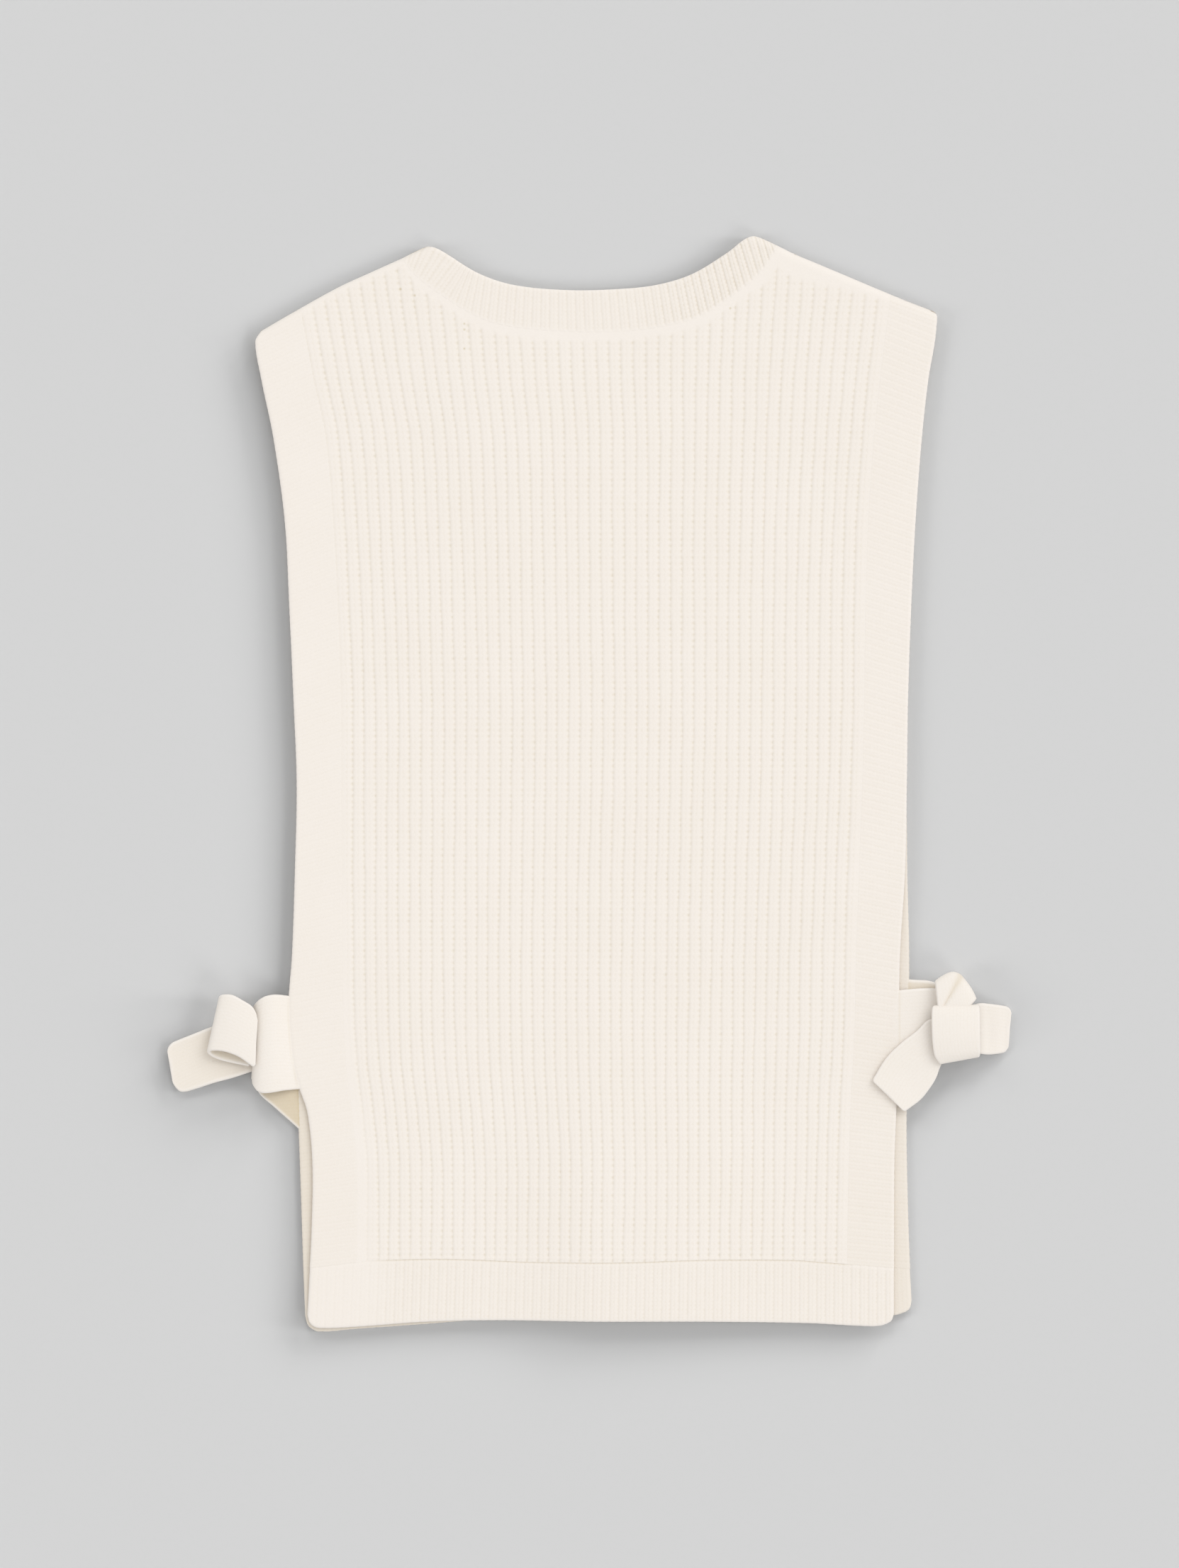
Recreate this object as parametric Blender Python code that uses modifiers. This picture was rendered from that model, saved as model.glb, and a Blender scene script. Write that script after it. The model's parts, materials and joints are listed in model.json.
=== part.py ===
"""A knitted tabard vest that lies flat, back side up.

Z is up and Y points to the neck. The front panel lies at z = 0, the back panel lies on it, and a knotted
tie on each side holds the open sides together. Each panel is a ribbed body between two side trims, over a
hem band and under a neckband. Every piece is one wall of cloth and stands SEAM apart from its neighbours.
The tables and sizes are in millimetres, and MM turns them into Blender's metres.
"""

from bisect import bisect_right
from collections import namedtuple
from functools import lru_cache, partial
from math import exp

import bmesh
import bpy
from mathutils import Vector

MM = 0.001

# ---------------------------------------------------------------- driving dimensions

SEAM = 0.3  # gap left between two pieces that are sewn or lie together
NECK_SEAM_GAP = 0.6  # the same at the neckbands, where both pieces cut the corners of a curve
FRONT_WALL = 2.8  # thickness of the front panel
TIE_WALL = 2.6  # thickness of the ties
EDGE_ROUND = 0.9  # rounding of the plain pieces' edges

BODY_RIBS = 46  # broad vertical ribs across the back body
TRIM_RIBS = 132  # fine ribs along a side trim, knitted sideways
HEM_RIBS = 68  # fine vertical ribs across the hem band
NECK_RIBS = 44  # radial ribs round the neckband
BODY_ROWS = 12  # rows of faces up the body

# Heights above a wall's plain inside. Grooves part the ribs, and an edge is lower so that it looks rounded.
BODY_GROOVE, BODY_CREST = 2.1, 3.1
TRIM_GROOVE, TRIM_CREST = 2.6, 3.0
HEM_GROOVE, HEM_CREST = 2.3, 3.0
NECK_GROOVE, NECK_CREST = 2.3, 3.1
SEAM_HEIGHT = 2.4  # where two pieces are sewn together
SEAM_DIP = 0.3  # a trim's ribs are this much lower at its seam
EDGE_TOP, EDGE_UNDER = 1.3, 0.5  # upper and lower turn of a rounded free edge
EDGE_INSET = 2.0  # how far in from a free edge the wall has its full height
RIB_FADE = 6.0  # the body's ribs start this far below the neckband and the shoulders
BAND_TURN = 0.08  # share of a band's width in which it falls to its edges

# The profile of one rib: place across it, and share of the way from the groove to the crest.
BROAD_RIB = [(0.0, 0.0), (0.2, 1.0), (0.8, 1.0)]
FINE_RIB = [(0.0, 0.0), (0.5, 1.0)]

# How finely curves are followed.
NECK_SAMPLES = 240
ROUNDS_TO_THE_TOP = 25
FRONT_NECK_STEPS = 36
FRONT_HEM_STEPS = 30
TIE_COLUMNS = 5
FOLD_COLUMNS = 8
BASE_ROWS = 4  # rows over which a strap takes on the bow of the edge it starts at
SHARP_ANGLE = 0.9

HEM_Y = -285.0  # about where the hem bands are sewn on

# The back panel from the hem seam to the shoulders: its free edges and the seams inside the trims.
Sides = namedtuple("Sides", "y left left_seam right_seam right")
BACK_SIDES = [
    Sides(-300, -166.6, -138.2, 152.4, 180.4),
    Sides(-265, -164.7, -137.8, 152.7, 180.4),
    Sides(-225, -164.2, -138.0, 153.5, 180.6),
    Sides(-195, -167.1, -140.7, 154.4, 181.7),
    Sides(-180, -172.0, -142.6, 155.0, 182.4),
    Sides(-165, -176.0, -144.5, 156.0, 182.9),
    Sides(-135, -178.5, -146.0, 157.2, 183.3),
    Sides(-100, -176.2, -146.4, 157.9, 184.0),
    Sides(-50, -174.5, -146.8, 159.6, 187.0),
    Sides(0, -173.5, -147.0, 161.5, 188.0),
    Sides(50, -175.4, -147.2, 162.6, 188.7),
    Sides(105, -177.9, -149.1, 163.4, 190.6),
    Sides(155, -180.5, -151.8, 165.0, 193.1),
    Sides(205, -187.3, -156.2, 168.4, 196.9),
    Sides(240, -194.5, -163.4, 172.0, 200.8),
    Sides(262, -198.0, -167.6, 174.8, 204.6),
]
# The front panel is a little longer on the left and shows past both edges below the ties.
FRONT_SIDES = [
    Sides(-300, -169.3, -142.0, 163.0, 190.6),
    Sides(-265, -170.4, -143.0, 162.0, 189.2),
    Sides(-225, -171.7, -144.5, 161.0, 188.2),
    Sides(-195, -172.8, -145.5, 161.0, 188.0),
    Sides(-150, -173.7, -146.5, 161.5, 189.1),
    Sides(-100, -173.4, -146.5, 162.0, 189.5),
    Sides(-50, -172.8, -146.0, 162.0, 188.4),
    Sides(50, -173.6, -147.0, 162.0, 187.9),
    Sides(105, -176.9, -149.5, 163.0, 189.8),
    Sides(155, -179.6, -152.0, 165.0, 192.3),
    Sides(205, -186.4, -156.5, 168.0, 196.1),
    Sides(240, -193.6, -163.5, 172.0, 200.0),
    Sides(262, -197.0, -167.5, 175.0, 203.8),
]

# Where the free edges meet the shoulder folds, and the shoulder folds up to the neckband.
Point = namedtuple("Point", "x y")
LEFT_TIP = Point(-194.6, 268.5)
RIGHT_TIP = Point(203.6, 280.8)
LEFT_SHOULDER = [
    Point(-194.6, 268.5),
    Point(-179.1, 277.6),
    Point(-149.7, 294.0),
    Point(-128.7, 303.7),
    Point(-111.1, 311.6),
]
RIGHT_SHOULDER = [
    Point(111.9, 318.9),
    Point(133.8, 309.5),
    Point(175.8, 291.9),
    Point(203.6, 280.8),
]

# The neckbands, left to right: the seam to the body and the free edge of the opening.
BACK_NECK_SEAM = [
    Point(-111.1, 311.6),
    Point(-107.0, 305.4),
    Point(-101.5, 299.4),
    Point(-94.0, 293.6),
    Point(-72.5, 279.6),
    Point(-56.5, 272.8),
    Point(-32.6, 269.0),
    Point(0.0, 267.5),
    Point(28.0, 268.6),
    Point(50.0, 272.2),
    Point(66.6, 277.2),
    Point(90.1, 292.8),
    Point(100.6, 302.2),
    Point(105.8, 308.7),
    Point(111.9, 318.9),
]
BACK_NECK_EDGE = [
    Point(-97.0, 318.3),
    Point(-92.5, 318.1),
    Point(-86.7, 315.4),
    Point(-65.7, 302.6),
    Point(-44.7, 295.7),
    Point(-13.2, 292.7),
    Point(15.0, 293.2),
    Point(39.3, 295.7),
    Point(60.3, 302.0),
    Point(81.3, 314.6),
    Point(92.0, 322.8),
    Point(98.0, 324.5),
]
FRONT_NECK_SEAM = [
    Point(-111.1, 311.6),
    Point(-110.0, 290.0),
    Point(-101.0, 258.0),
    Point(-78.0, 229.0),
    Point(-42.0, 211.0),
    Point(0.0, 205.0),
    Point(42.0, 211.0),
    Point(78.0, 230.0),
    Point(102.0, 262.0),
    Point(111.0, 296.0),
    Point(111.9, 318.9),
]
FRONT_NECK_EDGE = [
    Point(-96.4, 317.6),
    Point(-90.5, 297.0),
    Point(-79.0, 268.0),
    Point(-60.0, 246.5),
    Point(-32.0, 234.0),
    Point(0.0, 230.0),
    Point(32.0, 234.0),
    Point(60.0, 247.0),
    Point(80.0, 271.0),
    Point(91.5, 302.0),
    Point(97.4, 323.8),
]

# The hem bands, left to right: the seam under the body and the free bottom edge.
HEM_SEAM = [
    Point(-138.0, -283.5),
    Point(-128.0, -282.3),
    Point(-86.0, -281.4),
    Point(-35.0, -283.1),
    Point(16.0, -283.4),
    Point(67.0, -281.9),
    Point(119.0, -282.0),
    Point(140.0, -283.4),
    Point(152.0, -284.4),
]
BACK_BOTTOM = [
    Point(-167.2, -314.5),
    Point(-165.6, -319.5),
    Point(-161.0, -322.2),
    Point(-139.0, -321.6),
    Point(-97.0, -318.6),
    Point(-55.0, -317.7),
    Point(0.0, -318.3),
    Point(70.0, -318.4),
    Point(130.0, -319.4),
    Point(160.0, -321.0),
    Point(172.0, -320.9),
    Point(178.6, -318.2),
    Point(180.4, -313.8),
]
FRONT_BOTTOM = [
    Point(-168.6, -315.5),
    Point(-166.8, -321.0),
    Point(-161.0, -324.5),
    Point(-139.0, -323.1),
    Point(-97.0, -320.1),
    Point(-55.0, -317.0),
    Point(0.0, -316.6),
    Point(100.0, -316.4),
    Point(176.0, -315.6),
    Point(186.3, -313.4),
    Point(190.0, -310.6),
    Point(191.0, -306.0),
]

# Broad folds of the back panel: where its inside lifts off the front, each a soft swell.
Fold = namedtuple("Fold", "x y left right below above height")
FOLDS = [
    Fold(8, -290, 34, 100, 400, 115, 3.4),  # long swell that opens the hem
    Fold(-62, 232, 28, 60, 60, 26, 0.9),  # below the left end of the neckband
    Fold(118, -60, 70, 40, 90, 120, 0.8),  # beside the right trim
    Fold(-120, -120, 30, 60, 60, 90, 0.7),  # drawn towards the left tie
]

# The ties. Each row is a section of the middle of the wall: its two edges a and b, and how far its centre
# stands above the straight line between them. Straps start at a panel's edge, tails at the knot.
Section = namedtuple("Section", "ax ay az bx by bz crown")
LEFT_BACK_STRAP = [
    Section(-178.2, -126.0, 4.7, -173.0, -180.6, 4.7, 0.0),
    Section(-180.8, -125.4, 4.8, -176.5, -181.0, 4.8, 0.0),
    Section(-184.0, -124.7, 7.6, -181.5, -181.6, 7.4, 0.5),
    Section(-188.0, -124.7, 9.6, -187.5, -182.6, 9.2, 0.7),
    Section(-192.4, -125.8, 10.0, -192.8, -183.0, 9.4, 0.6),
    Section(-196.0, -128.2, 8.8, -196.4, -181.8, 8.4, 0.4),
    Section(-198.0, -131.4, 6.6, -198.6, -178.2, 6.4, 0.1),
    Section(-197.6, -135.0, 3.4, -198.4, -174.8, 3.4, 0.0),
]
LEFT_FRONT_STRAP = [
    Section(-174.0, -148.0, 1.3, -172.8, -203.9, 1.3, 0.0),
    Section(-182.0, -148.0, 1.3, -181.5, -194.3, 1.3, 0.0),
    Section(-189.0, -149.0, 1.3, -189.5, -187.2, 1.3, 0.0),
    Section(-195.0, -151.0, 1.3, -196.4, -181.6, 1.3, 0.0),
    Section(-199.4, -154.0, 1.3, -200.6, -171.8, 1.3, 0.0),
]
LEFT_LOOP = [
    Section(-200.2, -137.5, 7.2, -201.4, -167.2, 7.0, 0.0),
    Section(-207.5, -132.5, 7.2, -210.0, -165.6, 6.9, 0.0),
    Section(-214.0, -127.8, 7.3, -219.6, -163.4, 7.0, 0.0),
    Section(-218.4, -125.2, 8.3, -225.4, -160.9, 7.9, 0.0),
    Section(-220.0, -124.4, 10.3, -227.2, -158.8, 9.9, 0.0),
    Section(-217.8, -123.9, 12.4, -224.8, -157.4, 12.0, 0.2),
    Section(-212.0, -124.5, 13.5, -217.0, -158.0, 13.1, 0.5),
    Section(-204.8, -128.1, 13.7, -208.4, -160.9, 13.2, 0.6),
    Section(-199.4, -131.6, 13.1, -202.4, -164.8, 12.6, 0.5),
    Section(-196.4, -137.0, 12.3, -197.8, -168.4, 11.8, 0.2),
]
LEFT_TAIL = [
    Section(-200.9, -142.0, 1.9, -201.4, -170.4, 1.9, 0.0),
    Section(-212.0, -139.8, 3.0, -211.0, -173.8, 3.0, -1.2),
    Section(-223.5, -143.7, 3.9, -222.5, -177.0, 3.4, -2.0),
    Section(-234.0, -147.9, 2.8, -232.5, -179.9, 2.5, -0.8),
    Section(-243.5, -151.7, 1.5, -240.0, -181.4, 1.5, 0.0),
    Section(-249.4, -155.0, 1.3, -245.2, -178.2, 1.3, 0.0),
]
RIGHT_BACK_STRAP = [
    Section(183.8, -122.6, 4.7, 184.2, -166.0, 4.7, 0.0),
    Section(188.0, -122.0, 4.8, 189.0, -165.5, 4.8, 0.2),
    Section(199.7, -121.0, 4.7, 200.0, -163.0, 4.6, 0.0),
    Section(208.0, -121.5, 4.4, 208.0, -158.0, 4.4, 0.0),
    Section(218.0, -126.0, 4.3, 218.0, -152.0, 4.3, 0.0),
]
RIGHT_FRONT_STRAP = [
    Section(190.0, -115.6, 1.3, 189.5, -160.0, 1.3, 0.0),
    Section(197.0, -116.1, 1.3, 197.0, -158.0, 1.3, 0.0),
    Section(205.0, -117.0, 1.3, 206.0, -154.0, 1.3, 0.0),
    Section(216.0, -122.0, 1.3, 216.0, -149.0, 1.3, 0.0),
]
RIGHT_KNOT = [
    Section(203.4, -132.2, 10.4, 230.2, -131.6, 10.2, 0.0),
    Section(202.6, -132.7, 12.6, 230.5, -132.0, 12.4, 0.2),
    Section(202.2, -136.4, 14.2, 230.6, -134.9, 13.9, 0.5),
    Section(202.2, -143.5, 14.8, 230.7, -141.5, 14.4, 0.7),
    Section(202.6, -152.0, 14.6, 230.8, -149.5, 14.2, 0.6),
    Section(203.8, -160.0, 13.2, 231.0, -156.8, 12.8, 0.4),
    Section(206.2, -164.2, 11.4, 231.0, -159.8, 11.0, 0.2),
    Section(207.4, -165.2, 10.2, 230.6, -160.9, 9.6, 0.0),
]
RIGHT_OUT_TAIL = [
    Section(216.0, -136.0, 7.4, 216.0, -156.0, 7.4, 0.0),
    Section(224.0, -134.0, 7.4, 224.0, -158.0, 7.4, 0.2),
    Section(231.0, -131.4, 6.8, 231.6, -159.6, 6.6, 0.0),
    Section(236.0, -131.6, 4.8, 236.4, -160.0, 4.4, -0.5),
    Section(241.6, -132.6, 3.0, 241.6, -159.8, 2.7, 0.0),
    Section(246.0, -133.9, 1.7, 244.8, -159.2, 1.6, 0.0),
    Section(249.3, -134.9, 1.3, 246.8, -158.2, 1.3, 0.0),
]
RIGHT_DOWN_TAIL = [
    Section(212.5, -140.0, 7.6, 213.5, -156.5, 7.6, 0.0),
    Section(207.0, -138.6, 7.8, 210.4, -161.6, 7.6, 0.2),
    Section(200.2, -139.9, 8.0, 207.4, -168.2, 7.4, 0.4),
    Section(193.4, -146.4, 8.1, 205.2, -174.2, 6.9, 0.6),
    Section(184.6, -153.2, 8.2, 201.4, -180.4, 6.6, 0.5),
    Section(175.4, -162.4, 8.2, 195.8, -187.2, 6.4, 0.4),
    Section(167.2, -175.6, 8.7, 186.4, -194.2, 7.4, 0.3),
]

# The fold behind the right knot leaves it low, turns over its rim and comes back above, with one crease.
RIGHT_FOLD_RIM = [
    Point(204.5, -118.0),
    Point(209.6, -114.4),
    Point(214.4, -112.4),
    Point(218.2, -113.3),
    Point(222.0, -117.4),
    Point(225.6, -122.6),
    Point(228.2, -128.2),
]
RIGHT_FOLD_ROOT_Y, RIGHT_FOLD_TUCK_Y = -133.0, -130.0  # where it starts below the knot and ends above
RIGHT_FOLD_ROOT = (206.0, 223.0)  # its width there, in x
RIGHT_FOLD_Z = 7.4
FoldStep = namedtuple("FoldStep", "layer reach rise crease")
RIGHT_FOLD_STEPS = [
    FoldStep("low", 0.0, 0.0, 0.0),
    FoldStep("low", 0.5, 0.0, 0.0),
    FoldStep("low", 0.9, 0.3, 0.0),
    FoldStep("low", 1.0, 2.2, 0.0),
    FoldStep("high", 0.88, 4.1, 0.3),
    FoldStep("high", 0.5, 4.9, 1.0),
    FoldStep("high", 0.0, 4.2, 0.8),
]

CREAM = (0.89, 0.84, 0.78, 1.0)
TIE_CREAM = (0.91, 0.86, 0.80, 1.0)
ROUGHNESS = 0.95

# ---------------------------------------------------------------- curves


def mix(a, b, share):
    return a + (b - a) * share


def spaced(count):
    """Evenly spaced values from 0 to 1."""
    return [i / count for i in range(count + 1)]


def curve(knots):
    """A smooth function through (input, value) pairs, straight beyond its ends."""
    ts, vs = zip(*sorted(knots))
    last = len(ts) - 1
    before = [max(i - 1, 0) for i in range(last + 1)]
    after = [min(i + 1, last) for i in range(last + 1)]
    slopes = [(vs[b] - vs[a]) / (ts[b] - ts[a]) for a, b in zip(before, after)]

    def value(t):
        if t <= ts[0]:
            return vs[0] + slopes[0] * (t - ts[0])
        if t >= ts[last]:
            return vs[last] + slopes[last] * (t - ts[last])
        i = bisect_right(ts, t) - 1
        step = ts[i + 1] - ts[i]
        f = (t - ts[i]) / step
        ends = vs[i] * (1 + 2 * f) * (1 - f) ** 2 + vs[i + 1] * (3 - 2 * f) * f**2
        bend = slopes[i] * f * (1 - f) ** 2 - slopes[i + 1] * f**2 * (1 - f)
        return ends + bend * step

    return value


def path(points):
    """A smooth plan curve through points, as a function of 0 to 1 along its length."""
    lengths = [0.0]
    for a, b in zip(points, points[1:]):
        lengths.append(lengths[-1] + (Vector(b) - Vector(a)).length)
    x_at = curve([(s / lengths[-1], p.x) for s, p in zip(lengths, points)])
    y_at = curve([(s / lengths[-1], p.y) for s, p in zip(lengths, points)])
    return lambda s: Vector((x_at(s), y_at(s)))


def straight_runs(ts, vs):
    """The function that joins the knots by straight runs."""

    def value(t):
        i = min(max(bisect_right(ts, t) - 1, 0), len(ts) - 2)
        return mix(vs[i], vs[i + 1], (t - ts[i]) / (ts[i + 1] - ts[i]))

    return value


# ---------------------------------------------------------------- the panels' outline


class Panel:
    """A panel's plan: its free edges, the seams inside its trims, its neckband and its hem band."""

    def __init__(self, sides, neck_seam, neck_edge, bottom):
        self.tip = {"left": LEFT_TIP, "right": RIGHT_TIP}
        self.edge = {
            "left": curve([(row.y, row.left) for row in sides] + [(LEFT_TIP.y, LEFT_TIP.x)]),
            "right": curve([(row.y, row.right) for row in sides] + [(RIGHT_TIP.y, RIGHT_TIP.x)]),
        }
        self.seam = {
            "left": curve([(row.y, row.left_seam) for row in sides]),
            "right": curve([(row.y, row.right_seam) for row in sides]),
        }
        self.neck_seam, self.neck_edge = path(neck_seam), path(neck_edge)
        self.neck_ends = (neck_seam[0].x, neck_seam[-1].x)
        neck = [self.neck_seam(s) for s in spaced(NECK_SAMPLES)]
        self.neck_height = straight_runs([p.x for p in neck], [p.y for p in neck])
        self.shoulder = {"left": curve(LEFT_SHOULDER), "right": curve(RIGHT_SHOULDER)}
        self.hem = curve(HEM_SEAM)
        self.bottom = path(bottom)

    def rib_x(self, u, y):
        """The x of a rib line, which is u = 0 at the left trim's seam and 1 at the right one's."""
        return mix(self.seam["left"](y) + SEAM / 2, self.seam["right"](y) - SEAM / 2, u)

    def under_neck(self, x):
        return self.neck_ends[0] < x < self.neck_ends[1]

    def height(self, x):
        """The y at which the body ends above: at the neckband's seam or at a shoulder fold."""
        if self.under_neck(x):
            return self.neck_height(x)
        return self.shoulder["left" if x < 0 else "right"](x)

    @lru_cache(maxsize=None)
    def rib_ends(self, u):
        """The lowest and the highest y of a rib line."""
        low = self.hem(self.rib_x(u, HEM_Y)) + SEAM / 2
        high = self.neck_height(0)
        for _ in range(ROUNDS_TO_THE_TOP):
            high = self.height(self.rib_x(u, high))
        return low, high

    def body_point(self, u, v):
        y = mix(*self.rib_ends(u), v)
        return Vector((self.rib_x(u, y), y))

    def body_rows(self):
        """The rows of the body, as shares of its height. The last but one is RIB_FADE short of the top."""
        low, high = self.rib_ends(0.5)
        return spaced(BODY_ROWS)[:-1] + [1 - RIB_FADE / (high - low), 1.0]

    def trim_rows(self):
        """The body's rows with one more between each two."""
        rows = self.body_rows()
        return sorted(rows + [mix(a, b, 0.5) for a, b in zip(rows, rows[1:])])

    def trim_points(self, side, u):
        """The two ends of a trim's cross line, at its free edge and at its seam, which runs straight
        between the body's rows as the body's own side does."""
        edge_low = self.hem(self.edge[side](HEM_Y)) + SEAM / 2
        edge_y = mix(edge_low, self.tip[side].y, u)
        ends = self.rib_ends(0.0 if side == "left" else 1.0)
        seam_ys = [mix(*ends, v) for v in self.body_rows()]
        seam_x = straight_runs(seam_ys, [self.seam[side](y) for y in seam_ys])
        seam_y = mix(*ends, u)
        gap = -SEAM / 2 if side == "left" else SEAM / 2
        return Vector((self.edge[side](edge_y), edge_y)), Vector((seam_x(seam_y) + gap, seam_y))

    def hem_points(self, u):
        """The two ends of a hem band's rib, at the bottom edge and at the seam."""
        x = mix(self.edge["left"](HEM_Y), self.edge["right"](HEM_Y), u)
        return self.bottom(u), Vector((x, self.hem(x) - SEAM / 2))

    def neck_points(self, s):
        """The two ends of a neckband's rib, at the seam and at the free edge."""
        seam, edge = self.neck_seam(s), self.neck_edge(s)
        return seam + (edge - seam).normalized() * NECK_SEAM_GAP, edge


def lift(x, y):
    """How far the back panel's inside stands off the front, from the table of folds."""
    total = 0.0
    for fold in FOLDS:
        across = (x - fold.x) / (fold.left if x < fold.x else fold.right)
        along = (y - fold.y) / (fold.below if y < fold.y else fold.above)
        total += fold.height * exp(-(across**2) - along**2)
    return total


# ---------------------------------------------------------------- building

Grid = namedtuple("Grid", "us vs points")


def back_grid(us, vs, plan, height):
    """A grid of points of the back panel: plan(u, v) in x and y, height(u, v) above its inside."""
    points = []
    for v in vs:
        row = []
        for u in us:
            x, y = plan(u, v)
            row.append(Vector((x, y, FRONT_WALL + SEAM + lift(x, y) + height(u, v))) * MM)
        points.append(row)
    return Grid(us, vs, points)


def rib_heights(count, profile, groove, crest):
    """The height at each input from 0 to 1 across ribs of one profile of (place, share) pairs."""
    heights = {(rib + place) / count: mix(groove, crest, share) for rib in range(count) for place, share in profile}
    heights[1.0] = heights[0.0]
    return heights


def bridge(bm, run_a, ts_a, run_b, ts_b):
    """Triangles between two runs of vertices that lie side by side and may differ in number."""
    a = b = 0
    while a < len(run_a) - 1 or b < len(run_b) - 1:
        if b == len(run_b) - 1 or (a < len(run_a) - 1 and ts_a[a + 1] <= ts_b[b + 1]):
            bm.faces.new((run_a[a], run_a[a + 1], run_b[b]))
            a += 1
        else:
            bm.faces.new((run_a[a], run_b[b + 1], run_b[b]))
            b += 1


def add_quads(bm, points):
    rows = [[bm.verts.new(p) for p in row] for row in points]
    for low, high in zip(rows, rows[1:]):
        for i in range(len(low) - 1):
            bm.faces.new((low[i], low[i + 1], high[i + 1], high[i]))
    return rows


def knit_object(name, bm, color):
    """The mesh as an object of the vest, with its own knit material."""
    mesh = bpy.data.meshes.new(name)
    bm.to_mesh(mesh)
    bm.free()
    mesh.shade_smooth()
    mesh.set_sharp_from_angle(angle=SHARP_ANGLE)
    material = bpy.data.materials.new(name + "_knit")
    material.use_nodes = True
    shader = material.node_tree.nodes["Principled BSDF"]
    shader.inputs["Base Color"].default_value = color
    shader.inputs["Roughness"].default_value = ROUGHNESS
    mesh.materials.append(material)
    obj = bpy.data.objects.new(name, mesh)
    VEST.objects.link(obj)
    obj.parent = ROOT
    return obj


def wall(name, outer, inner):
    """A closed wall of cloth: a grid of outer points over a plainer grid of inner points."""
    bm = bmesh.new()
    top, under = add_quads(bm, outer.points), add_quads(bm, inner.points)
    for row in (0, -1):
        bridge(bm, top[row], outer.us, under[row], inner.us)
    for col in (0, -1):
        bridge(bm, [r[col] for r in top], outer.vs, [r[col] for r in under], inner.vs)
    bmesh.ops.recalc_face_normals(bm, faces=bm.faces)
    return knit_object(name, bm, CREAM)


def thicken(obj, thickness, offset):
    """Solidify an open sheet: offset 0 thickens it to both sides, 1 upwards."""
    solid = obj.modifiers.new("Thickness", "SOLIDIFY")
    solid.thickness = thickness * MM
    solid.offset = offset
    solid.use_even_offset = True


# ---------------------------------------------------------------- back panel


def make_back_body(panel):
    """The body: broad ribs that lean with the trims, over a plain inside."""
    ribs = rib_heights(BODY_RIBS, BROAD_RIB, BODY_GROOVE, BODY_CREST)
    rows = panel.body_rows()

    def is_shoulder(u, v):
        return v == 1.0 and not panel.under_neck(panel.body_point(u, v).x)

    def outer(u, v):
        if is_shoulder(u, v):
            return EDGE_TOP
        return SEAM_HEIGHT if v == 1.0 else ribs[u]

    def inner(u, v):
        return EDGE_UNDER if is_shoulder(u, v) else 0.0

    wall(
        "back_body",
        back_grid(sorted(ribs), rows, panel.body_point, outer),
        back_grid(spaced(BODY_RIBS), rows, panel.body_point, inner),
    )


def make_back_trim(panel, side):
    """A side trim knitted sideways: its fine ribs cross it from the free edge to the seam."""
    ribs = rib_heights(TRIM_RIBS, FINE_RIB, TRIM_GROOVE, TRIM_CREST)
    at_edge, inside_edge, at_seam = 0, 1, 2

    def plan(u, row):
        edge, seam = panel.trim_points(side, u)
        inset = (seam - edge).normalized() * EDGE_INSET
        return {at_edge: edge, inside_edge: edge + inset, at_seam: seam}[row]

    def outer(u, row):
        if row == at_edge or u == 1.0:
            return EDGE_TOP
        return ribs[u] if row == inside_edge else ribs[u] - SEAM_DIP

    def inner(u, row):
        return EDGE_UNDER if row == at_edge or u == 1.0 else 0.0

    rows = [at_edge, inside_edge, at_seam]
    wall(
        "back_trim_" + side,
        back_grid(sorted(ribs), rows, plan, outer),
        back_grid(panel.trim_rows(), rows, plan, inner),
    )


def make_band(name, points, count, heights, plain_columns):
    """A band of fine ribs, from points(u)[0] at v = 0 to points(u)[1] at v = 1. The heights of its two
    long edges are given, lowest v first, and an edge at EDGE_TOP is free and rounded below as well."""
    ribs = rib_heights(count, FINE_RIB, heights["groove"], heights["crest"])
    first, last = heights["first"], heights["last"]
    rows = [0.0, BAND_TURN, 1 - BAND_TURN, 1.0]

    def plan(u, v):
        start, end = points(u)
        return start.lerp(end, v)

    def outer(u, v):
        if u in (0.0, 1.0):
            return EDGE_TOP
        return {0.0: first, 1.0: last}.get(v, ribs[u])

    def inner(u, v):
        free = u in (0.0, 1.0) or {0.0: first, 1.0: last}.get(v) == EDGE_TOP
        return EDGE_UNDER if free else 0.0

    wall(name, back_grid(sorted(ribs), rows, plan, outer), back_grid(spaced(plain_columns), rows, plan, inner))


def make_back(panel):
    make_back_body(panel)
    make_back_trim(panel, "left")
    make_back_trim(panel, "right")
    hem = dict(groove=HEM_GROOVE, crest=HEM_CREST, first=EDGE_TOP, last=SEAM_HEIGHT)
    make_band("back_hem_band", panel.hem_points, HEM_RIBS, hem, HEM_RIBS // 2)
    neck = dict(groove=NECK_GROOVE, crest=NECK_CREST, first=SEAM_HEIGHT, last=EDGE_TOP)
    make_band("back_neckband", panel.neck_points, NECK_RIBS, neck, NECK_RIBS)


# ---------------------------------------------------------------- front panel


def flat_piece(name, outline):
    """A plain piece of the front panel: its outline filled at z = 0, thickened upwards, edges rounded."""
    bm = bmesh.new()
    face = bm.faces.new([bm.verts.new(Vector((p.x, p.y, 0.0)) * MM) for p in outline])
    face.normal_update()
    if face.normal.z < 0:
        face.normal_flip()
    obj = knit_object(name, bm, CREAM)
    thicken(obj, FRONT_WALL, 1.0)
    edges = obj.modifiers.new("Edges", "BEVEL")
    edges.width = EDGE_ROUND * MM
    edges.segments = 1
    edges.limit_method = "ANGLE"
    edges.angle_limit = SHARP_ANGLE


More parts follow.
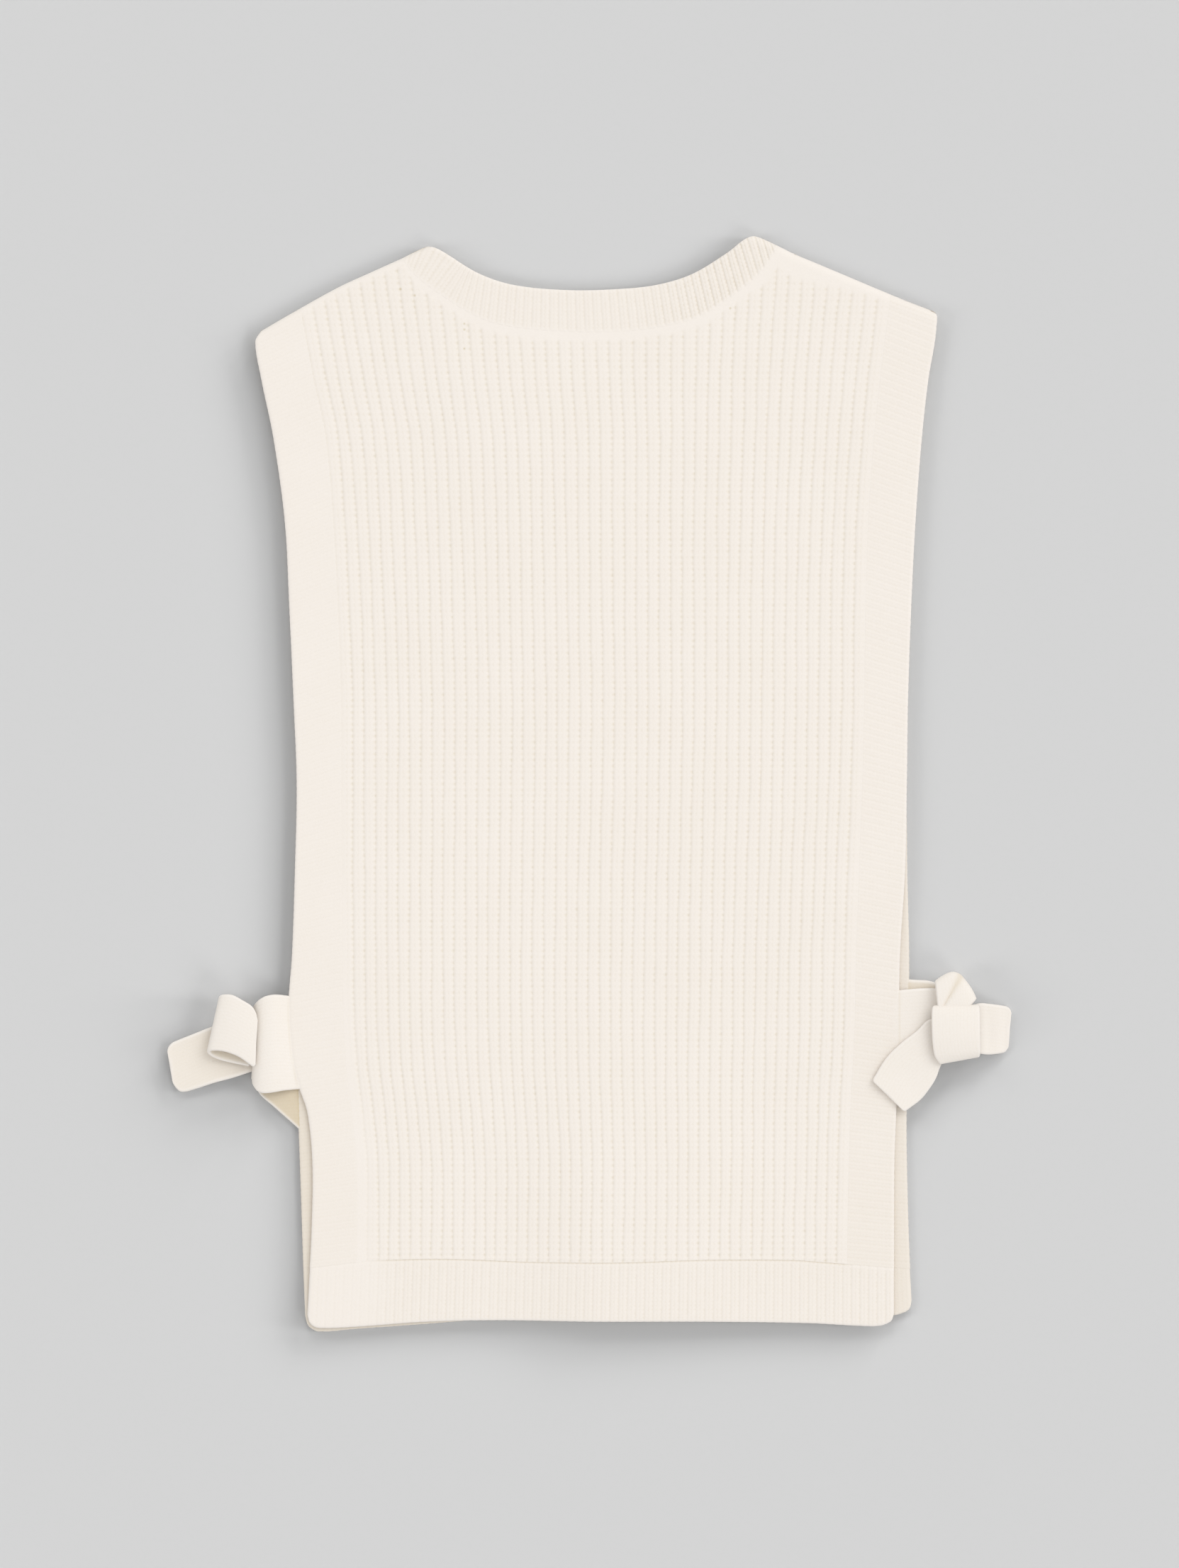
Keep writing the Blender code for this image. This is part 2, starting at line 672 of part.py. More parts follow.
def flat_strip(name, points, steps):
    """A plain piece between two runs: points(u) gives a point of each."""
    pairs = [points(u) for u in steps]
    flat_piece(name, [a for a, _ in pairs] + [b for _, b in reversed(pairs)])


def make_front(panel):
    """The front panel, whose ribs face the surface it lies on, so that its solids are plain and flat."""
    left = [panel.body_point(0.0, v) for v in panel.body_rows()]
    right = [panel.body_point(1.0, v) for v in reversed(panel.body_rows())]
    left_fold = [Vector(p) for p in LEFT_SHOULDER if left[-1].x < p.x < panel.neck_ends[0]]
    right_fold = [Vector(p) for p in RIGHT_SHOULDER if panel.neck_ends[1] < p.x < right[0].x]
    neck = [panel.neck_seam(s) for s in spaced(FRONT_NECK_STEPS)]
    hem_xs = [mix(right[-1].x, left[0].x, u) for u in spaced(FRONT_HEM_STEPS)[1:-1]]
    hem = [Vector((x, panel.hem(x) + SEAM / 2)) for x in hem_xs]
    flat_piece("front_body", left + left_fold + neck + right_fold + right + hem)
    for side in ("left", "right"):
        flat_strip("front_trim_" + side, partial(panel.trim_points, side), panel.trim_rows())
    flat_strip("front_hem_band", panel.hem_points, spaced(FRONT_HEM_STEPS))
    flat_strip("front_neckband", panel.neck_points, spaced(FRONT_NECK_STEPS))


# ---------------------------------------------------------------- ties


def make_ribbon(name, rows):
    """A tie piece: a sheet of rows of points, thickened to both sides."""
    bm = bmesh.new()
    add_quads(bm, [[p * MM for p in row] for row in rows])
    thicken(knit_object(name, bm, TIE_CREAM), TIE_WALL, 0.0)


def make_tie(name, sections, between=2, base=None):
    """A ribbon through a table of sections. With a base, the x of a panel's edge, it starts SEAM off it."""
    fields = [curve(list(enumerate(column))) for column in zip(*sections)]
    rows = []
    for i in range((len(sections) - 1) * between + 1):
        row = Section(*(field(i / between) for field in fields))
        a, b = Vector((row.ax, row.ay, row.az)), Vector((row.bx, row.by, row.bz))
        rise = Vector((0, 0, row.crown))
        rows.append([a.lerp(b, t) + rise * 4 * t * (1 - t) for t in spaced(TIE_COLUMNS)])
    if base:
        away = SEAM if rows[1][0].x > rows[0][0].x else -SEAM
        bow = [base(point.y) + away - point.x for point in rows[0]]
        for i, row in enumerate(rows[:BASE_ROWS]):
            for point, shift in zip(row, bow):
                point.x += shift * (1 - i / BASE_ROWS)
    make_ribbon(name, rows)


def make_right_fold():
    """The fold behind the right knot, a fan of columns from the knot's corner out to its rim and back."""
    rim = path(RIGHT_FOLD_RIM)
    left, right = RIGHT_FOLD_ROOT
    rows = []
    for step in RIGHT_FOLD_STEPS:
        base_y = RIGHT_FOLD_ROOT_Y if step.layer == "low" else RIGHT_FOLD_TUCK_Y
        row = []
        for s in spaced(FOLD_COLUMNS):
            base_x = mix(left, right, s if step.layer == "low" else s**3)
            plan = Vector((base_x, base_y)).lerp(rim(s), step.reach)
            crease = step.crease if s == 0.5 else 0.0
            row.append(Vector((*plan, RIGHT_FOLD_Z + step.rise - crease)))
        rows.append(row)
    make_ribbon("tie_right_fold", rows)


def make_ties():
    make_tie("tie_left_back_strap", LEFT_BACK_STRAP, base=BACK.edge["left"])
    make_tie("tie_left_front_strap", LEFT_FRONT_STRAP, between=1, base=FRONT.edge["left"])
    make_tie("tie_left_loop", LEFT_LOOP)
    make_tie("tie_left_tail", LEFT_TAIL)
    make_tie("tie_right_back_strap", RIGHT_BACK_STRAP, between=1, base=BACK.edge["right"])
    make_tie("tie_right_front_strap", RIGHT_FRONT_STRAP, between=1, base=FRONT.edge["right"])
    make_tie("tie_right_knot", RIGHT_KNOT)
    make_tie("tie_right_out_tail", RIGHT_OUT_TAIL)
    make_tie("tie_right_down_tail", RIGHT_DOWN_TAIL)
    make_right_fold()


# ---------------------------------------------------------------- the vest

for old in list(bpy.data.objects):
    bpy.data.objects.remove(old)

VEST = bpy.data.collections.new("knitted_vest")
bpy.context.scene.collection.children.link(VEST)
ROOT = bpy.data.objects.new("vest_root", None)
VEST.objects.link(ROOT)

BACK = Panel(BACK_SIDES, BACK_NECK_SEAM, BACK_NECK_EDGE, BACK_BOTTOM)
FRONT = Panel(FRONT_SIDES, FRONT_NECK_SEAM, FRONT_NECK_EDGE, FRONT_BOTTOM)

make_back(BACK)
make_front(FRONT)
make_ties()
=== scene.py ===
import json
from collections import namedtuple
from functools import partial
from math import pi, radians

import bmesh
import bpy
import numpy as np
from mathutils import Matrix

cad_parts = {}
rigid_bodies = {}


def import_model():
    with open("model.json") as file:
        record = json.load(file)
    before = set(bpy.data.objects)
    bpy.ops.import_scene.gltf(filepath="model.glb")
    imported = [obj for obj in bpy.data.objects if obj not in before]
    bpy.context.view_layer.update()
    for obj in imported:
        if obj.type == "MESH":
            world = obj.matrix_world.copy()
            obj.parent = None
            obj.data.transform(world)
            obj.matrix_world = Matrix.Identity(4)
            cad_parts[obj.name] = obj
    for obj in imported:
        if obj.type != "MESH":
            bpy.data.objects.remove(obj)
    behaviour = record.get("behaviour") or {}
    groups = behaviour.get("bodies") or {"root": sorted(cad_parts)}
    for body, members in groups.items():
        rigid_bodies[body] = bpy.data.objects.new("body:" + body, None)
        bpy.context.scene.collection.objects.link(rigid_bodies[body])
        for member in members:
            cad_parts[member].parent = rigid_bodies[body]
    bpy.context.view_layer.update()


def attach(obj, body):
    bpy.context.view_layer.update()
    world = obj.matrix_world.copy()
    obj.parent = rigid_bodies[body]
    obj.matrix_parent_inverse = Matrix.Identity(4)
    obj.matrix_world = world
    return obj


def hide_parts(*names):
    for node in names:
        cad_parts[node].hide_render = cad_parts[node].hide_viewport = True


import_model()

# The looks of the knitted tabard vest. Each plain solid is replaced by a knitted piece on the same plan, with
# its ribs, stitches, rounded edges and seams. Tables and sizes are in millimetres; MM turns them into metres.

MM = 0.001
SCENE = bpy.context.scene

# ---- plan of the panels

HEM_Y = -285.0  # about where the hem bands are sewn on
NECK_SAMPLES, BOTTOM_SAMPLES = 240, 2000  # points at which those curves are looked up
ROUNDS_TO_THE_TOP = 25  # rounds in which a rib line's upper end is found
TIP_RADIUS = {"left": 0.1, "right": 4.5}  # of the trims' corners at the shoulders, beyond the tables
TRIM_END = 0.97  # share of a trim's length from which its rows bend to the shoulder fold
NECK_TIP = (1, 4)  # distances past and inside the neckband's ends between which the body leaves the folds

# y, left edge, left seam, right seam, right edge, from the hem seam to the shoulders.
BACK_SIDES = [
    (-300, -166.6, -138.2, 152.4, 180.4),
    (-265, -164.7, -137.8, 152.7, 180.4),
    (-225, -164.2, -138.0, 153.5, 180.6),
    (-195, -167.1, -140.7, 154.4, 181.7),
    (-180, -172.0, -142.6, 155.0, 182.4),
    (-165, -176.0, -144.5, 156.0, 182.9),
    (-135, -178.5, -146.0, 157.2, 183.3),
    (-100, -176.2, -146.4, 157.9, 184.0),
    (-50, -174.5, -146.8, 159.6, 187.0),
    (0, -173.5, -147.0, 161.5, 188.0),
    (50, -175.4, -147.2, 162.6, 188.7),
    (105, -177.9, -149.1, 163.4, 190.6),
    (155, -180.5, -151.8, 165.0, 193.1),
    (205, -187.3, -156.2, 168.4, 196.9),
    (240, -194.5, -163.4, 172.0, 200.8),
    (262, -198.0, -167.6, 174.8, 204.6),
]
FRONT_SIDES = [
    (-300, -169.3, -142.0, 163.0, 190.6),
    (-265, -170.4, -143.0, 162.0, 189.2),
    (-225, -171.7, -144.5, 161.0, 188.2),
    (-195, -172.8, -145.5, 161.0, 188.0),
    (-150, -173.7, -146.5, 161.5, 189.1),
    (-100, -173.4, -146.5, 162.0, 189.5),
    (-50, -172.8, -146.0, 162.0, 188.4),
    (50, -173.6, -147.0, 162.0, 187.9),
    (105, -176.9, -149.5, 163.0, 189.8),
    (155, -179.6, -152.0, 165.0, 192.3),
    (205, -186.4, -156.5, 168.0, 196.1),
    (240, -193.6, -163.5, 172.0, 200.0),
    (262, -197.0, -167.5, 175.0, 203.8),
]
LEFT_SHOULDER = [(-194.6, 268.5), (-179.1, 277.6), (-149.7, 294.0), (-128.7, 303.7), (-111.1, 311.6)]
RIGHT_SHOULDER = [(111.9, 318.9), (122.0, 313.9), (133.8, 309.0), (175.8, 291.3), (206.4, 278.8)]
BACK_NECK_SEAM = [
    (-111.1, 311.6), (-107.0, 305.4), (-101.5, 299.4), (-94.0, 293.6), (-72.5, 279.6),
    (-56.5, 272.8), (-32.6, 269.0), (0.0, 267.5), (28.0, 268.6), (50.0, 272.2),
    (66.6, 277.2), (90.1, 292.8), (100.6, 302.2), (105.8, 308.7), (111.9, 318.9),
]
BACK_NECK_EDGE = [
    (-97.0, 318.3), (-92.5, 318.1), (-86.7, 315.4), (-65.7, 302.6), (-44.7, 295.7), (-13.2, 292.7),
    (15.0, 293.2), (39.3, 295.7), (60.3, 302.0), (81.3, 314.6), (92.0, 322.8), (98.0, 324.5),
]
FRONT_NECK_SEAM = [
    (-111.1, 311.6), (-110.0, 290.0), (-101.0, 258.0), (-78.0, 229.0), (-42.0, 211.0), (0.0, 205.0),
    (42.0, 211.0), (78.0, 230.0), (102.0, 262.0), (111.0, 296.0), (111.9, 318.9),
]
FRONT_NECK_EDGE = [
    (-98.6, 316.4), (-96.4, 316.6), (-95.4, 314.0), (-90.5, 297.0), (-79.0, 268.0),
    (-60.0, 246.5), (-32.0, 234.0), (0.0, 230.0), (32.0, 234.0), (60.0, 247.0),
    (80.0, 271.0), (91.5, 302.0), (96.4, 320.2), (97.8, 322.9), (99.8, 322.9),
]
HEM_SEAM = [
    (-138.0, -283.5), (-128.0, -282.3), (-86.0, -281.4), (-35.0, -283.1), (16.0, -283.4),
    (67.0, -281.9), (119.0, -282.0), (140.0, -283.4), (152.0, -284.4),
]
BACK_BOTTOM = [
    (-167.2, -314.5), (-165.6, -319.5), (-161.0, -322.2), (-139.0, -321.6), (-97.0, -318.6),
    (-55.0, -317.7), (0.0, -318.3), (70.0, -318.4), (130.0, -319.4), (160.0, -321.0),
    (172.0, -320.9), (178.6, -318.2), (180.4, -313.8),
]
FRONT_BOTTOM = [
    (-168.6, -315.5), (-166.8, -321.0), (-161.0, -324.5), (-139.0, -323.1), (-97.0, -320.1),
    (-55.0, -317.0), (0.0, -316.6), (100.0, -316.4), (176.0, -315.6), (186.3, -313.4),
    (190.0, -310.6), (191.0, -306.0),
]
Fold = namedtuple("Fold", "x y left right below above height")
FOLDS = [
    Fold(8, -290, 34, 100, 400, 115, 3.4),
    Fold(-62, 232, 28, 60, 60, 26, 0.9),
    Fold(118, -60, 70, 40, 90, 120, 0.8),
    Fold(-120, -120, 30, 60, 60, 90, 0.7),
]

# ---- ties

# The middle of each wall: ax ay az, bx by bz of its two edges, and how far its centre stands above them.
TIES = {
    "tie_left_back_strap": [
        (-178.2, -126.0, 4.7, -173.0, -180.6, 4.7, 0),
        (-180.8, -125.4, 4.8, -176.5, -181.0, 4.8, 0),
        (-184.0, -124.7, 7.6, -181.5, -181.6, 7.4, 0.5),
        (-188.0, -124.7, 9.6, -187.5, -182.6, 9.2, 0.7),
        (-192.4, -125.8, 10.0, -192.8, -183.0, 9.4, 0.6),
        (-196.0, -128.2, 8.8, -196.4, -181.8, 8.4, 0.4),
        (-198.0, -131.4, 6.6, -198.6, -178.2, 6.4, 0.1),
        (-197.6, -135.0, 3.4, -198.4, -174.8, 3.4, 0),
    ],
    "tie_left_front_strap": [
        (-174.0, -148.0, 1.3, -172.8, -208.2, 1.3, 0),
        (-182.0, -148.0, 1.3, -181.5, -199.5, 1.3, 0),
        (-189.0, -149.0, 1.3, -189.5, -191.4, 1.3, 0),
        (-195.0, -151.0, 1.3, -196.4, -184.2, 1.3, 0),
        (-199.4, -154.0, 1.3, -200.6, -174.8, 1.3, 0),
    ],
    "tie_left_loop": [
        (-200.2, -137.5, 7.2, -201.4, -167.2, 7.0, 0),
        (-207.5, -132.5, 7.2, -209.6, -165.6, 6.9, 0),
        (-213.0, -128.4, 7.3, -218.2, -163.6, 7.0, 0),
        (-216.6, -126.2, 8.3, -223.6, -161.3, 7.9, 0),
        (-217.8, -125.2, 10.3, -225.4, -159.2, 9.9, 0),
        (-215.8, -124.4, 12.4, -223.0, -157.8, 12.0, 0.2),
        (-210.8, -124.8, 13.5, -216.0, -158.2, 13.1, 0.5),
        (-204.6, -128.1, 13.7, -208.2, -160.9, 13.2, 0.6),
        (-199.4, -131.6, 13.1, -202.4, -164.8, 12.6, 0.5),
        (-196.4, -137.0, 12.3, -197.8, -168.4, 11.8, 0.2),
    ],
    "tie_left_tail": [
        (-199.0, -143.0, 1.5, -199.2, -170.2, 1.5, 0),
        (-211.0, -139.8, 3.0, -210.0, -173.8, 3.0, -1.2),
        (-223.5, -143.7, 3.9, -222.5, -177.2, 3.4, -2.0),
        (-234.5, -148.0, 2.8, -232.8, -180.6, 2.5, -0.8),
        (-244.5, -152.0, 2.2, -241.0, -182.6, 2.2, 0),
        (-251.0, -154.8, 2.8, -246.6, -180.4, 2.8, 0),
    ],
    "tie_right_back_strap": [
        (183.8, -122.6, 4.7, 184.2, -166.0, 4.7, 0),
        (188.0, -122.0, 4.8, 189.0, -165.5, 4.8, 0.2),
        (199.7, -121.0, 4.7, 200.0, -163.0, 4.6, 0),
        (208.0, -121.5, 4.4, 208.0, -158.0, 4.4, 0),
        (218.0, -126.0, 4.3, 218.0, -152.0, 4.3, 0),
    ],
    "tie_right_front_strap": [
        (190.0, -115.6, 1.3, 189.5, -160.0, 1.3, 0),
        (197.0, -116.1, 1.3, 197.0, -158.0, 1.3, 0),
        (205.0, -117.0, 1.3, 206.0, -154.0, 1.3, 0),
        (216.0, -122.0, 1.3, 216.0, -149.0, 1.3, 0),
    ],
    "tie_right_knot": [
        (203.4, -132.2, 10.4, 230.2, -131.6, 10.2, 0),
        (202.6, -132.7, 12.6, 230.5, -132.0, 12.4, 0.2),
        (202.2, -136.4, 14.2, 230.6, -134.9, 13.9, 0.5),
        (202.2, -143.5, 14.8, 230.7, -141.5, 14.4, 0.7),
        (202.6, -152.0, 14.6, 230.8, -149.5, 14.2, 0.6),
        (203.8, -160.0, 13.2, 231.0, -156.8, 12.8, 0.4),
        (206.2, -164.2, 11.4, 231.0, -159.8, 11.0, 0.2),
        (207.4, -165.2, 10.2, 230.6, -160.9, 9.6, 0),
    ],
    "tie_right_out_tail": [
        (216.0, -134.5, 7.4, 216.0, -156.0, 7.4, 0),
        (224.0, -131.5, 7.4, 224.0, -158.0, 7.4, 0.2),
        (231.0, -129.8, 6.8, 231.6, -159.8, 6.6, 0),
        (236.0, -130.1, 4.8, 236.4, -160.4, 4.4, -0.5),
        (242.0, -130.9, 3.0, 241.8, -160.0, 2.7, 0),
        (246.8, -131.7, 1.7, 245.4, -159.4, 1.6, 0),
        (250.4, -132.5, 1.3, 248.2, -158.6, 1.3, 0),
    ],
    "tie_right_down_tail": [
        (212.5, -140.0, 7.6, 213.5, -156.5, 7.6, 0),
        (207.0, -138.6, 7.8, 210.4, -161.6, 7.6, 0.2),
        (200.2, -139.9, 8.0, 207.4, -168.2, 7.4, 0.4),
        (193.4, -146.4, 8.1, 205.2, -174.2, 6.9, 0.6),
        (184.6, -153.2, 8.2, 201.4, -180.4, 6.6, 0.5),
        (175.4, -162.4, 8.2, 195.8, -187.2, 6.4, 0.4),
        (167.2, -175.6, 8.7, 186.4, -194.2, 7.4, 0.3),
    ],
}
TIE_WALL = 2.6
TIE_EDGE = 1.3  # radius of the rounded edges
TIE_STEP, TIE_EDGE_STEPS = 0.9, (0, 0.1, 0.35, 0.7, 1.15, 1.7)  # mesh rows: all over, and beside an edge
TIE_SAMPLES = 400
TIE_WALE, TIE_CLARITY = 2.1, 0.2  # spacing of the fine lines along a tie, and how clear they are
TIE_ROOT = 4.0  # how far a strap reaches into its panel
# The straps that start on a panel's edge: the panel, the side, and over how many sections they turn from it.
ROOTS = {
    "tie_left_back_strap": ("back", "left", 2),
    "tie_left_front_strap": ("front", "left", 4),
    "tie_right_back_strap": ("back", "right", 4),
    "tie_right_front_strap": ("front", "right", 4),
}
TIE_CORNERS = {
    "tie_left_loop": 3, "tie_left_tail": 4.5, "tie_right_out_tail": 3.5, "tie_right_down_tail": 1.5,
}
# Painted shade on a tie's two sides, from its start to its end, where it lies under or inside other parts.
UNSHADED = (0, 0)
TIE_PAINTED_SHADES = {
    "tie_left_front_strap": (UNSHADED, (2.1, 1.7)),
    "tie_left_loop": (UNSHADED, (1.2, 1.2)),
    "tie_left_tail": (UNSHADED, (0.6, 0.3)),
    "tie_right_front_strap": ((1.0, 1.0), UNSHADED),
}
TIE_SHADE_TURN = (0.4, 3)  # distances from a tie's edge between which its painted shade sets in
# The line of stitches at a strap's root: its shade, how far outside the panel it lies, and its reach.
ROOT_SHADE, ROOT_LINE, ROOT_REACH = 0.5, 0.4, 0.6
RIGHT_FOLD_RIM = [
    (204.5, -118.0), (209.6, -114.4), (214.4, -112.4), (218.2, -113.3), (222.0, -117.4),
    (225.6, -122.6), (228.2, -128.2),
]
RIGHT_FOLD_ROOT = (206.0, 223.0)
RIGHT_FOLD_Z = 7.4
# The crease of the right tie's fold: its width, as a share across the fold, and its painted shade.
CREASE_WIDTH, CREASE_PAINTED_SHADE = 0.07, 1.0
RIGHT_FOLD_COLUMNS, RIGHT_FOLD_ROWS = 42, 60  # of the fold's mesh
# y of the inner end, power of the fan, reach towards the rim, rise, depth of the crease.
RIGHT_FOLD_STEPS = [
    (-133.0, 1, 0.0, 0.0, 0),
    (-133.0, 1, 0.5, 0.0, 0),
    (-133.0, 1, 0.9, 0.3, 0),
    (-133.0, 1, 1.0, 2.2, 0),
    (-133.5, 3, 0.88, 4.1, 0.3),
    (-133.5, 3, 0.5, 4.9, 1.0),
    (-133.5, 3, 0.0, 4.6, 0.8),
]

# ---- knit

BODY_RIBS, TRIM_RIBS, HEM_RIBS, NECK_RIBS = 46, 131, 68, 48
STITCH = 3.53  # height of a stitch row on the body
BODY_WIDTH, TRIM_WIDTH, HEM_WIDTH, NECK_WIDTH = 310, 28.5, 36, 25
BODY_PLACES = (0, 0.09, 0.25, 0.5, 0.75, 0.91)  # mesh columns across one rib, as shares of it
TRIM_PLACES = (0, 0.2, 0.5, 0.8)
BAND_PLACES = (0, 0.07, 0.2, 0.35, 0.5, 0.65, 0.8, 0.93)
EDGE_STEPS = (0, 0.15, 0.45, 0.9, 1.5, 2.2, 3.0)  # mesh rows beside an edge, as distances from it
SEAM_STEPS = (0, 0.05, 0.6, 1.2, 1.9, 2.6, 3.4)
FOLD_STEPS = (0, 0.05, 0.4, 0.9, 1.5, 2.2, 3.1, 4.2, 5.5)
ROW_STEP = 1.8  # mesh rows elsewhere
RIM_COLUMN = 0.0002  # place of one more column beside each side seam, as a share of the width
PLAIN_ROWS_APART = 24  # the body's lining has one mesh row for so many of the skin's
# A body row this low or high is a distance from the hem seam or from the top, and any other one is a y.
FROM_HEM, FROM_TOP = -1000.0, 1000.0

# Heights are above a panel's inside, and clarity is how strongly the material shows ribs by painted shade.
ROUND_RIB, FULL_RIB, FLAT_RIB = 2, 3, 4  # how flat ribs are across
BODY_CREST, BODY_GROOVE, FADED = 3.1, 2.7, 2.95  # heights on ribs, between them, and where they fade
GROOVE_STITCH, RIDGE_STITCH = 0.15, 0.08  # how far each stitch row rises and falls
ZIGZAG = 0.2  # how far each stitch leans a groove to the side
STRAYS = [(0.10, 31), (0.14, 74), (0.22, 190)]  # reach and span of the waves in which rib lines stray
STRAY_START, STRAY_END = 1.5, 6.0  # the waves grow over so many ribs from a seam, and end so near the top
UNEVEN = 0.05  # unevenness of single stitches
TRIM_CREST, TRIM_RELIEF = 3.0, {"left": 0.06, "right": 0.12}
TRIM_CLARITY = {"left": 0.18, "right": 0.36}
HEM_CREST, HEM_RELIEF, HEM_CLARITY, HEM_CLARITY_AT_LEFT = 3.0, 0.2, 0.6, 0.3
HEM_RIBS_BEGIN, HEM_RIBS_END = (0, 2), (1, 3)  # distances from the bottom and the seam in which they fade
NECK_CREST, NECK_RELIEF = 3.05, 0.2
NECK_DEEPER = (20, 80)  # x between which the neckband's relief grows to twice that
NECK_CLARITY = [(-111, 0.7), (-60, 0.6), (20, 0.6), (70, 1.2), (112, 1.0)]  # by x
NECK_RIBS_BEGIN = (0, 3)
# Near the left shoulder the neckband's ribs lean: how far, where along it, over what reach, and from where.
NECK_LEAN, NECK_LEAN_AT, NECK_LEAN_REACH, NECK_LEAN_START = 0.045, 0.11, 0.07, 0.05
# Free edges: the heights of a wall's two sides there, and the distances over which they turn.
EDGE_TOP, EDGE_UNDER, EDGE_TURN, UNDER_TURN = 1.8, 1.0, 2.0, 1.8
NECK_EDGE_ENDS = (3, 3)  # distances past and inside its ends between which the neck's edge becomes a fold
# At the shoulders the two panels meet halfway between their insides. A drop's share is square to the fold.
FOLD_HEIGHT, FOLD_TURN, FOLD_SLOPE = -0.15, 4.5, 0.91
SEAM_LOW, SEAM_TURN = 2.93, 1.4
SCALLOP = 0.1  # how far each rib's end stands out at a free edge
# The hem seam: the x between which it grows clear and fades, its shade and depth, and how far both reach.
SEAM_SHOWS_FROM, SEAM_SHOWS_TO = (-135, -110), (146, 158)
SEAM_SHADE, SEAM_DIP, SEAM_SHADE_REACH, SEAM_DIP_REACH = 1.6, 0.15, 0.9, 0.6
# Its small loops: their spacing, distance from the seam and reach, and how far they fill and lighten it.
CHAIN, LOOPS_AT, LOOPS_REACH, LOOPS_FILL, LOOPS_LIGHT = 2.55, 1.3, 0.9, 0.8, 0.9
SEAM_LAP = 0.25  # how far the body reaches under the neckband
TRIM_SHADES = {"left": 0.1, "right": 0.15}  # how far the trims are darkened near the hem
FUZZ_AND_RIM_LIGHT, FUZZ_AND_RIM_LIGHT_REACH = 0.25, 2.0  # how far free edges are lightened: loose fibres, and painted light against their turn's shade
LINING_RELIEF, LINING_CLARITY = 0.06, 0.3
# How far the insides are darkened at the left and at the right, and the x between which that changes.
# Partly the insides' own tone, partly painted shade, most at the left where the back panel's edge shades
# them.
LINING_TONE_AND_SHADE, LINING_MIDDLE = (0.9, 0.5), (-50, 50)
BAND_STITCH = 2.4  # height of a stitch row on the bands
NECK_TIP_STEPS = (0, 0.5, 1.1, 1.8, 2.6)  # mesh columns beside the neckband's ends, as distances from them
NOISE_ROWS, NOISE_PLACES = 400, 280  # of single stitches, up the body and across it
RNG = np.random.default_rng(20)
STRAY_PHASES = RNG.uniform(0, 2 * pi, (BODY_RIBS + 1, len(STRAYS)))
STITCH_NOISE = RNG.normal(size=(NOISE_ROWS, NOISE_PLACES))
STITCH_NOISE[:, [0, -1]] = 0

# Transfer holes and dark stitches near the neck and shoulders.
HOLES = [
    (-74.1, 272.6), (-74.1, 269.2), (-74.1, 257.9), (83.4, 281.8),
    (-111.9, 293.2), (-103.5, 289.4), (117.4, 316.7), (122.0, 314.2),
]
HOLE_RADIUS, HOLE_SHADE = 1.0, 2.2
# Width of the smooth strip below the neckband and the shoulders, and of the one beside the left trim.
SMOOTH_BELOW_TOP = [
    (-195, 1.5), (-116, 2.0), (-100, 4.0), (90, 4.0), (105, 9.0), (120, 12.0), (150, 7.0),
    (175, 3.0), (205, 1.5),
]
SMOOTH_AT_LEFT = [(-290, 18.0), (-200, 14.0), (-60, 5.0), (260, 1.0)]
SMOOTH_AT_RIGHT = 2.5
SMOOTH_START = 1.0  # how much of the left strip's turn lies before the seam
STRIP_TURN = 4.0  # distance over which ribs grow out of the upper strip

# ---- curves


def mix(a, b, share):
    return a + (b - a) * share


def ease(low, high, value):
    """0 below low to 1 above high, smoothly."""
    t = np.clip((value - low) / (high - low), 0, 1)
    return t * t * (3 - 2 * t)


def within(low, high, value, outside, inside):
    """1 between low and high, 0 beyond. Each change starts so far outside and ends so far inside."""
    return ease(low - outside, low + inside, value) * (1 - ease(high - inside, high + outside, value))


def bell(distance, reach):
    return np.exp(-((distance / reach) ** 2))


def turn(distance, radius):
    """0 at an edge to 1 at radius from it, rising as a quarter circle."""
    return np.sqrt(1 - (1 - np.clip(distance / radius, 0, 1)) ** 2)


def curve(ts, vs):
    """A smooth function of arrays through the knots, straight beyond its ends."""
    ts, vs = np.array(ts, float), np.array(vs, float)
    before, after = np.arange(len(ts)) - 1, np.arange(len(ts)) + 1
    before[0], after[-1] = 0, len(ts) - 1
    slopes = (vs[after] - vs[before]) / (ts[after] - ts[before])

    def value(t):
        i = np.clip(np.searchsorted(ts, t, side="right") - 1, 0, len(ts) - 2)
        step = ts[i + 1] - ts[i]
        f = np.clip((t - ts[i]) / step, 0, 1)
        ends = vs[i] * (1 + 2 * f) * (1 - f) ** 2 + vs[i + 1] * (3 - 2 * f) * f**2
        bend = slopes[i] * f * (1 - f) ** 2 - slopes[i + 1] * f**2 * (1 - f)
        beyond = slopes[0] * np.minimum(t - ts[0], 0) + slopes[-1] * np.maximum(t - ts[-1], 0)
        return ends + bend * step + beyond

    return value


def through(points):
    return curve(*zip(*points))


def path(points):
    """A smooth plan curve through points: a function of 0 to 1 along it that returns x and y."""
    points = np.array(points)
    lengths = np.concatenate(([0], np.cumsum(np.hypot(*np.diff(points, axis=0).T))))
    x_at = curve(lengths / lengths[-1], points[:, 0])
    y_at = curve(lengths / lengths[-1], points[:, 1])
    return lambda s: (x_at(s), y_at(s))


def lift(x, y):
    """How far the back panel's inside stands off the front, from the table of folds."""
    total = 0
    for fold in FOLDS:
        across = (x - fold.x) / np.where(x < fold.x, fold.left, fold.right)
        along = (y - fold.y) / np.where(y < fold.y, fold.below, fold.above)
        total = total + fold.height * np.exp(-(across**2) - along**2)
    return total


